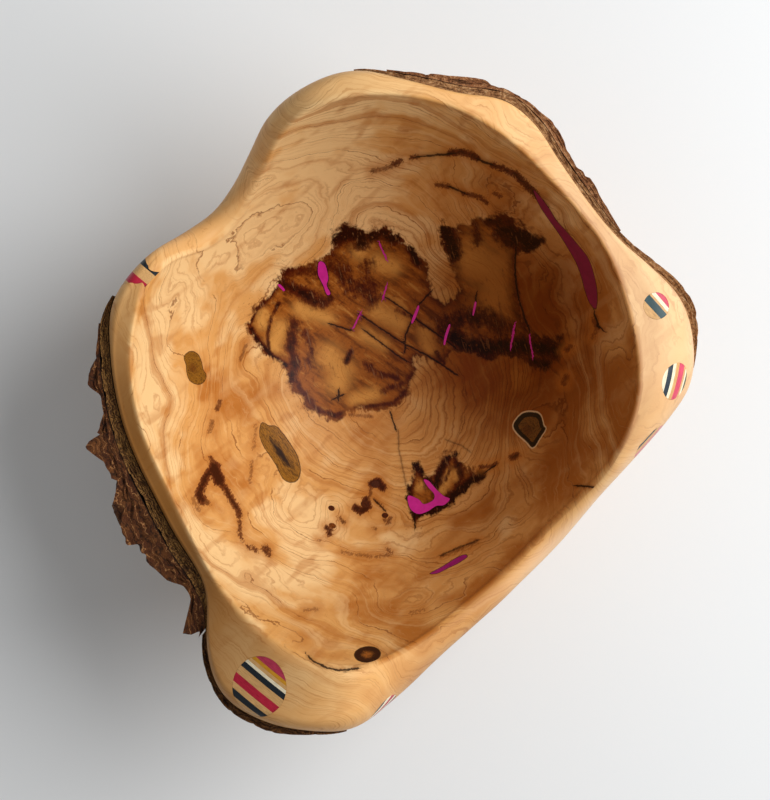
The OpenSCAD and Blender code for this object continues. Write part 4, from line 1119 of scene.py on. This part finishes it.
# the plies of each plug, cut out of a block of the bowl's own skin
dyes = {
    "natural": "#CE9E62", "cream": "#EBDDBD", "navy": "#08151E", "teal": "#163C40",
    "red": "#B00C30", "pink": "#C8607A", "yellow": "#C88A10", "green": "#3C4A34",
}
brighter = {"smallPlug": {"red": "#C43850"}, "slopePlug": {"red": "#D0405C", "navy": "#28343E"},
            "wallPlug": {"navy": "#28343E"}, "bigPlug": {"pink": "#B02C4A"}}
veneers = {}
for name, plug in plugs.items():
    at = skinFrame(plug["angle"], plug["row"], plug["along"])
    block = skinBlock(at, plug["depth"] + proud, plug["rows"], plug["columns"])
    bore = prism(cylinderOutline(plug["diameter"] / 2), -plug["depth"], proud)
    start = -plug["diameter"] / 2
    bands = {}
    for i, (dye, thickness) in enumerate(plug["plies"]):
        end = plug["diameter"] if i == len(plug["plies"]) - 1 else start + thickness
        begin = start - 1 if i == 0 else start
        box = [(begin, -20), (end, -20), (end, 20), (begin, 20)]
        bands.setdefault(dye, []).append(prism(box, -20, 20))
        start += thickness
    for dye, boxes in bands.items():
        colour = brighter.get(name, {}).get(dye, dyes[dye])
        if colour not in veneers:
            veneers[colour] = dyedVeneer("dyedVeneer" + colour[1:], colour)
        ply = newObject(name + dye.capitalize(), block)
        booleanOf(ply, bore, "INTERSECT")
        booleanOf(ply, joined(boxes), "INTERSECT")
        ply.matrix_world = inMetres(at)
        finishPiece(ply, plug["node"] + "_" + dye, veneers[colour])

# resin and knots, cut the same way, with a face that follows the hollow
inlayFinish = {
    "resin": ("resin", castResin("castResinMagenta", "#DC2CA2", "#AE1674")),
    # the crescent's resin is the same magenta, painted darker as the shade on the right wall
    "resinCrescent": ("resin", castResin("castResinMagentaShaded", "#8E0648", "#66022E")),
    "resinSliver": ("resin", castResin("castResinPlum", "#A61E78", "#74104C")),
    "knotLeft": ("knot_brown", knotWood("knotWoodOlive", "#74430F", "#8E5C18", "#341A08",
                                        (1.3, 0.9))),
    "knotCentre": ("knot_brown", knotWood("knotWoodDarkPith", "#2A1608", "#96621C", "#281406",
                                          (0.32, 1.5))),
    "knotRightCore": ("knot_brown", knotWood("knotWoodRinged", "#5C3210", "#6E451A", "#241204",
                                             (1.0, 0.8))),
    "knotRightBark": ("knot_dark", knotWood("knotBarkRing", "#140A04", "#1C1006", "#080402",
                                            (1.0, 1.0))),
    "knotRim": ("knot_dark", knotWood("knotWoodRim", "#A05C22", "#2E1008", "#160804",
                                      (1.2, 0.9))),
    "knotPins": ("knot_brown", knotWood("knotWoodPin", "#7A3E14", "#4E200A", "#2A0E04",
                                        (1.0, 1.0))),
}
for name, (node, depth, spots) in inlays.items():
    slot, material = inlayFinish.get(name, inlayFinish["resin"])
    parts = []
    home = inlayFrames[name][0]
    for at, (angle, radius, outline) in zip(inlayFrames[name], spots):
        reach = np.linalg.norm(np.array(outline, float), axis=1).max() + 2.5
        piece = newObject(name, skinBlock(at, depth + proud, reach=reach))
        booleanOf(piece, prism(smoothOutline(outline), -depth, proud), "INTERSECT")
        if name == "knotRightBark":
            core = prism(smoothOutline(inlays["knotRightCore"][2][0][2]), -depth - 1, proud + 1)
            booleanOf(piece, core, "DIFFERENCE")
        local = np.linalg.inv(home) @ at
        faces = [list(p.vertices) for p in piece.data.polygons]
        parts.append(moved((verticesOf(piece), faces), local))
        bpy.data.objects.remove(piece)
    inlay = newObject(name, joined(parts))
    inlay.matrix_world = inMetres(home)
    finishPiece(inlay, node, material)

# bark: the degrees that it spans, thickness in mm, share of it cut away by crevices, gap under
# its top in mm, its profile as degrees and share of the thickness, and the flesh, ridge, crevice
# and line colours with the gap between the lines in mm
barks = {
    "barkRightInner": {
        "node": "bark_right_inner", "slot": "inner_bark", "span": (3, 96), "under": None,
        "thickness": 2.6, "rough": 0.25, "gap": 0.0,
        "profile": [[3, 0.12], [6, 0.35], [9, 0.7], [13, 1], [21, 0.96], [27, 0.65], [33, 0.6],
                    [45, 0.7], [60, 0.75], [80, 0.7], [87, 0.5], [96, 0.15]],
        "colours": ("#A67448", "#C08E5C", "#663E1E", "#D8AE80"), "lineGap": 1.6,
    },
    "barkRightOuter": {
        "node": "bark_right_outer", "slot": "outer_bark", "span": (33, 90),
        "under": "barkRightInner", "thickness": 2.4, "rough": 0.75, "gap": 0.0,
        "profile": [[33, 0.15], [39, 0.6], [45, 1], [48, 0.7], [54, 0.95], [57, 1], [63, 0.5],
                    [66, 0.3], [69, 0.45], [72, 1], [75, 1], [78, 0.8], [84, 0.4], [90, 0.15]],
        "colours": ("#986038", "#BA8254", "#4A2612", "#D8A878"), "lineGap": 2.0,
    },
    "barkLeftInner": {
        "node": "bark_left_inner", "slot": "inner_bark", "span": (162, 234), "under": None,
        "thickness": 3.2, "rough": 0.3, "gap": 0.2,
        "profile": [[162, 0.3], [168, 0.75], [174, 0.85], [186, 0.95], [201, 1], [219, 1],
                    [228, 0.9], [234, 0.15]],
        "colours": ("#7E5228", "#A07238", "#2A180A", "#B88A4C"), "lineGap": 0.9,
    },
    "barkLeftOuter": {
        "node": "bark_left_outer", "slot": "outer_bark", "span": (168, 234),
        "under": "barkLeftInner", "thickness": 9.5, "rough": 0.8, "gap": 0.0,
        "profile": [[168, 0.04], [171, 0.06], [174, 0.14], [177, 0.3], [180, 0.42], [183, 0.12],
                    [186, 0.12], [189, 0.38], [192, 0.84], [195, 0.55], [198, 0.46], [201, 0.54],
                    [204, 0.94], [207, 0.98], [210, 1], [213, 0.9], [216, 0.74], [219, 0.6],
                    [222, 0.52], [225, 0.26], [228, 0.22], [231, 0.86], [234, 0.36]],
        "colours": ("#5A2F14", "#7C4A22", "#140904", "#CC9058"), "lineGap": 2.4,
    },
    "barkBottom": {
        "node": "bark_bottom", "slot": "outer_bark", "span": (234, 264), "under": None,
        "thickness": 2.2, "rough": 0.3, "gap": 0.0,
        "profile": [[234, 0.9], [237, 1], [240, 0.75], [246, 0.95], [252, 1], [255, 0.8],
                    [258, 0.6], [264, 0.2]],
        "colours": ("#5E3A1C", "#7A5028", "#221208", "#A87442"), "lineGap": 1.3,
    },
}
barkFeather = 0.3  # thinnest edge, in mm
# relief of every bark: sizes in mm of its lumps, crevices and crumbs, how far the crevices run
# up the wall, how wide they are, what each of these cuts in, and the grid that carries it
relief = {"lump": 5.2, "split": 4.6, "crumb": 1.4, "stretch": 0.45, "splitWidth": 0.16,
          "cuts": (0.05, 0.26, 0.12, 0.42), "topRows": 10, "step": 0.45, "rows": 46}


def barkThickness(bark, angle, share):
    # smooth thickness of one layer, as the solid has it
    rows = np.array(bark["profile"], float)
    up = np.minimum(1, 0.1 + 1.3 * share)
    return np.maximum(barkFeather, np.interp(angle, rows[:, 0], rows[:, 1])
                      * bark["thickness"] * up)


def makeBark(name, bark):
    below = barks.get(bark["under"])
    angles = np.arange(bark["span"][0], bark["span"][1] + 0.01, relief["step"])
    a, s = np.meshgrid(angles, np.linspace(0, 1, relief["rows"]))
    wall = skin(a, rowBark + 5 * s)
    base = barkThickness(below, a, s) if below else np.zeros_like(a)
    thick = barkThickness(bark, a, s)
    out = np.stack([np.cos(np.radians(a)), np.sin(np.radians(a)), np.zeros_like(a)], -1)
    # plates: broad lumps split by crevices, cut only inwards from the solid's surface
    flat = wall.reshape(-1, 3)
    lumps = softNoise(flat, relief["lump"], 21).reshape(a.shape)
    upright = flat * (1.0, 1.0, relief["stretch"])
    split = np.abs(softNoise(upright, relief["split"], 22)).reshape(a.shape)
    crumbs = softNoise(flat, relief["crumb"], 23).reshape(a.shape)
    crevice = np.exp(-(split / relief["splitWidth"]) ** 2)
    always, byLumps, byCrumbs, byCrevice = relief["cuts"]
    cutIn = bark["rough"] * np.clip(always + byLumps * lumps + byCrumbs * crumbs
                                    + byCrevice * crevice, 0, 1)
    fade = np.clip((thick - barkFeather) / 0.8, 0, 1)
    height = np.maximum(thick * (1 - cutIn * fade) - 0.1, barkFeather * 0.6)
    gap = bark["gap"] * np.clip((s - 0.72) / 0.2, 0, 1)
    inner = wall + out * np.minimum(base + gap, base + height * 0.6)[..., None]
    outer = wall + out * (base + height)[..., None]
    # the cut top is uneven, most of all half-way between the layers
    top, topDepth, topRaised = [], [], []
    for k in np.linspace(0, 1, relief["topRows"] + 2)[1:-1]:
        row = inner[-1] * (1 - k) + outer[-1] * k
        ripple = softNoise(row + (0, 0, k * 40), 2.2, 31)
        lift = np.clip(height[-1], 0, 3) * 0.28 * (ripple - 0.55) * math.sin(math.pi * k)
        top.append(row + (0, 0, 1) * lift[:, None])
        topDepth.append(base[-1] + k * height[-1])
        topRaised.append(0.75 + 0.45 * ripple)
    loop = np.concatenate([inner, np.array(top), outer[::-1]])
    depth = np.concatenate([base, np.array(topDepth), (base + height)[::-1]])
    raised = np.concatenate([np.full_like(a, 0.3), np.array(topRaised), (1 - cutIn)[::-1]])
    count, cols = loop.shape[:2]
    j = np.arange(cols - 1)
    faces = []
    for i in range(count):
        low, high = i * cols, ((i + 1) % count) * cols
        faces += np.stack([low + j, high + j, high + j + 1, low + j + 1], 1).tolist()
    faces.append([i * cols for i in range(count)][::-1])
    faces.append([i * cols + cols - 1 for i in range(count)])
    obj = newObject(name, (loop.reshape(-1, 3), faces))
    setAttribute(obj, "depth", depth.reshape(-1))
    setAttribute(obj, "raised", raised.reshape(-1))
    material = barkMaterial(name + "Brushed", *bark["colours"], bark["lineGap"])
    finishPiece(obj, bark["node"], material, 60)


for name, bark in barks.items():
    makeBark(name, bark)

# floor, world, lamp and camera
room = {
    "floorColour": "#E6E8E9", "floorSize": 6.0, "worldStrength": 0.31,
    "key": {"watts": 6.55, "size": 0.7, "distance": 0.75, "azimuth": 15.0, "elevation": 45.0},
    "camera": {"at": (-0.0029, 0.0008, 0.588), "lens": 98.65},
}


def paperFloor():
    # matt white paper sweep: pale, no sheen, a tooth of about 1 mm
    material, tree = newMaterial("mattPaperSweep")
    place = add(tree, "TexCoord", out=3)
    tooth = add(tree, "TexNoise", None, {"Vector": place, "Scale": 900.0, "Detail": 2.0})
    bump = add(tree, "Bump", None,
               {"Strength": 0.05, "Distance": 0.0001, "Height": tooth})
    shader = add(tree, "BsdfPrincipled", None,
                 {"Base Color": linear(room["floorColour"]), "Roughness": 0.95, "Normal": bump})
    add(tree, "OutputMaterial", None, {0: shader})
    return material


half = room["floorSize"] / 2
floorMesh = bpy.data.meshes.new("paperSweep")
floorMesh.from_pydata([(-half, -half, 0), (half, -half, 0), (half, half, 0), (-half, half, 0)], [],
                      [[0, 1, 2, 3]])
floorMesh.materials.append(paperFloor())
paperSweep = bpy.data.objects.new("paperSweep", floorMesh)
bpy.context.scene.collection.objects.link(paperSweep)

world = bpy.data.worlds.new("studio")
bpy.context.scene.world = world
world.use_nodes = True
worldTree = world.node_tree
worldTree.nodes.clear()
# the backdrop is white to the camera only, and the object is lit at a plain level
isCamera = add(worldTree, "LightPath")
level = add(worldTree, "MapRange", None,
            {"Value": isCamera, "To Min": room["worldStrength"], "To Max": 1.0})
sky = add(worldTree, "Background", None, {0: linear("#FFFFFF"), 1: level})
add(worldTree, "OutputWorld", None, {0: sky})

key = room["key"]
lamp = bpy.data.lights.new("windowLight", "AREA")
lamp.shape = "DISK"
lamp.size = key["size"]
lamp.energy = key["watts"]
lampObject = bpy.data.objects.new("windowLight", lamp)
az, el = math.radians(key["azimuth"]), math.radians(key["elevation"])
direction = Vector((math.cos(az) * math.cos(el), math.sin(az) * math.cos(el), math.sin(el)))
lampObject.location = direction * key["distance"]
lampObject.rotation_mode = "QUATERNION"
lampObject.rotation_quaternion = direction.to_track_quat("Z", "Y")
bpy.context.scene.collection.objects.link(lampObject)

camera = bpy.data.cameras.new("overheadCamera")
camera.sensor_fit = "HORIZONTAL"
camera.sensor_width = 36.0
camera.lens = room["camera"]["lens"]
camera.clip_start = 0.01
cameraObject = bpy.data.objects.new("overheadCamera", camera)
cameraObject.location = room["camera"]["at"]
bpy.context.scene.collection.objects.link(cameraObject)
bpy.context.scene.camera = cameraObject
bpy.context.scene.view_settings.view_transform = "Standard"
print("lamps and camera placed")
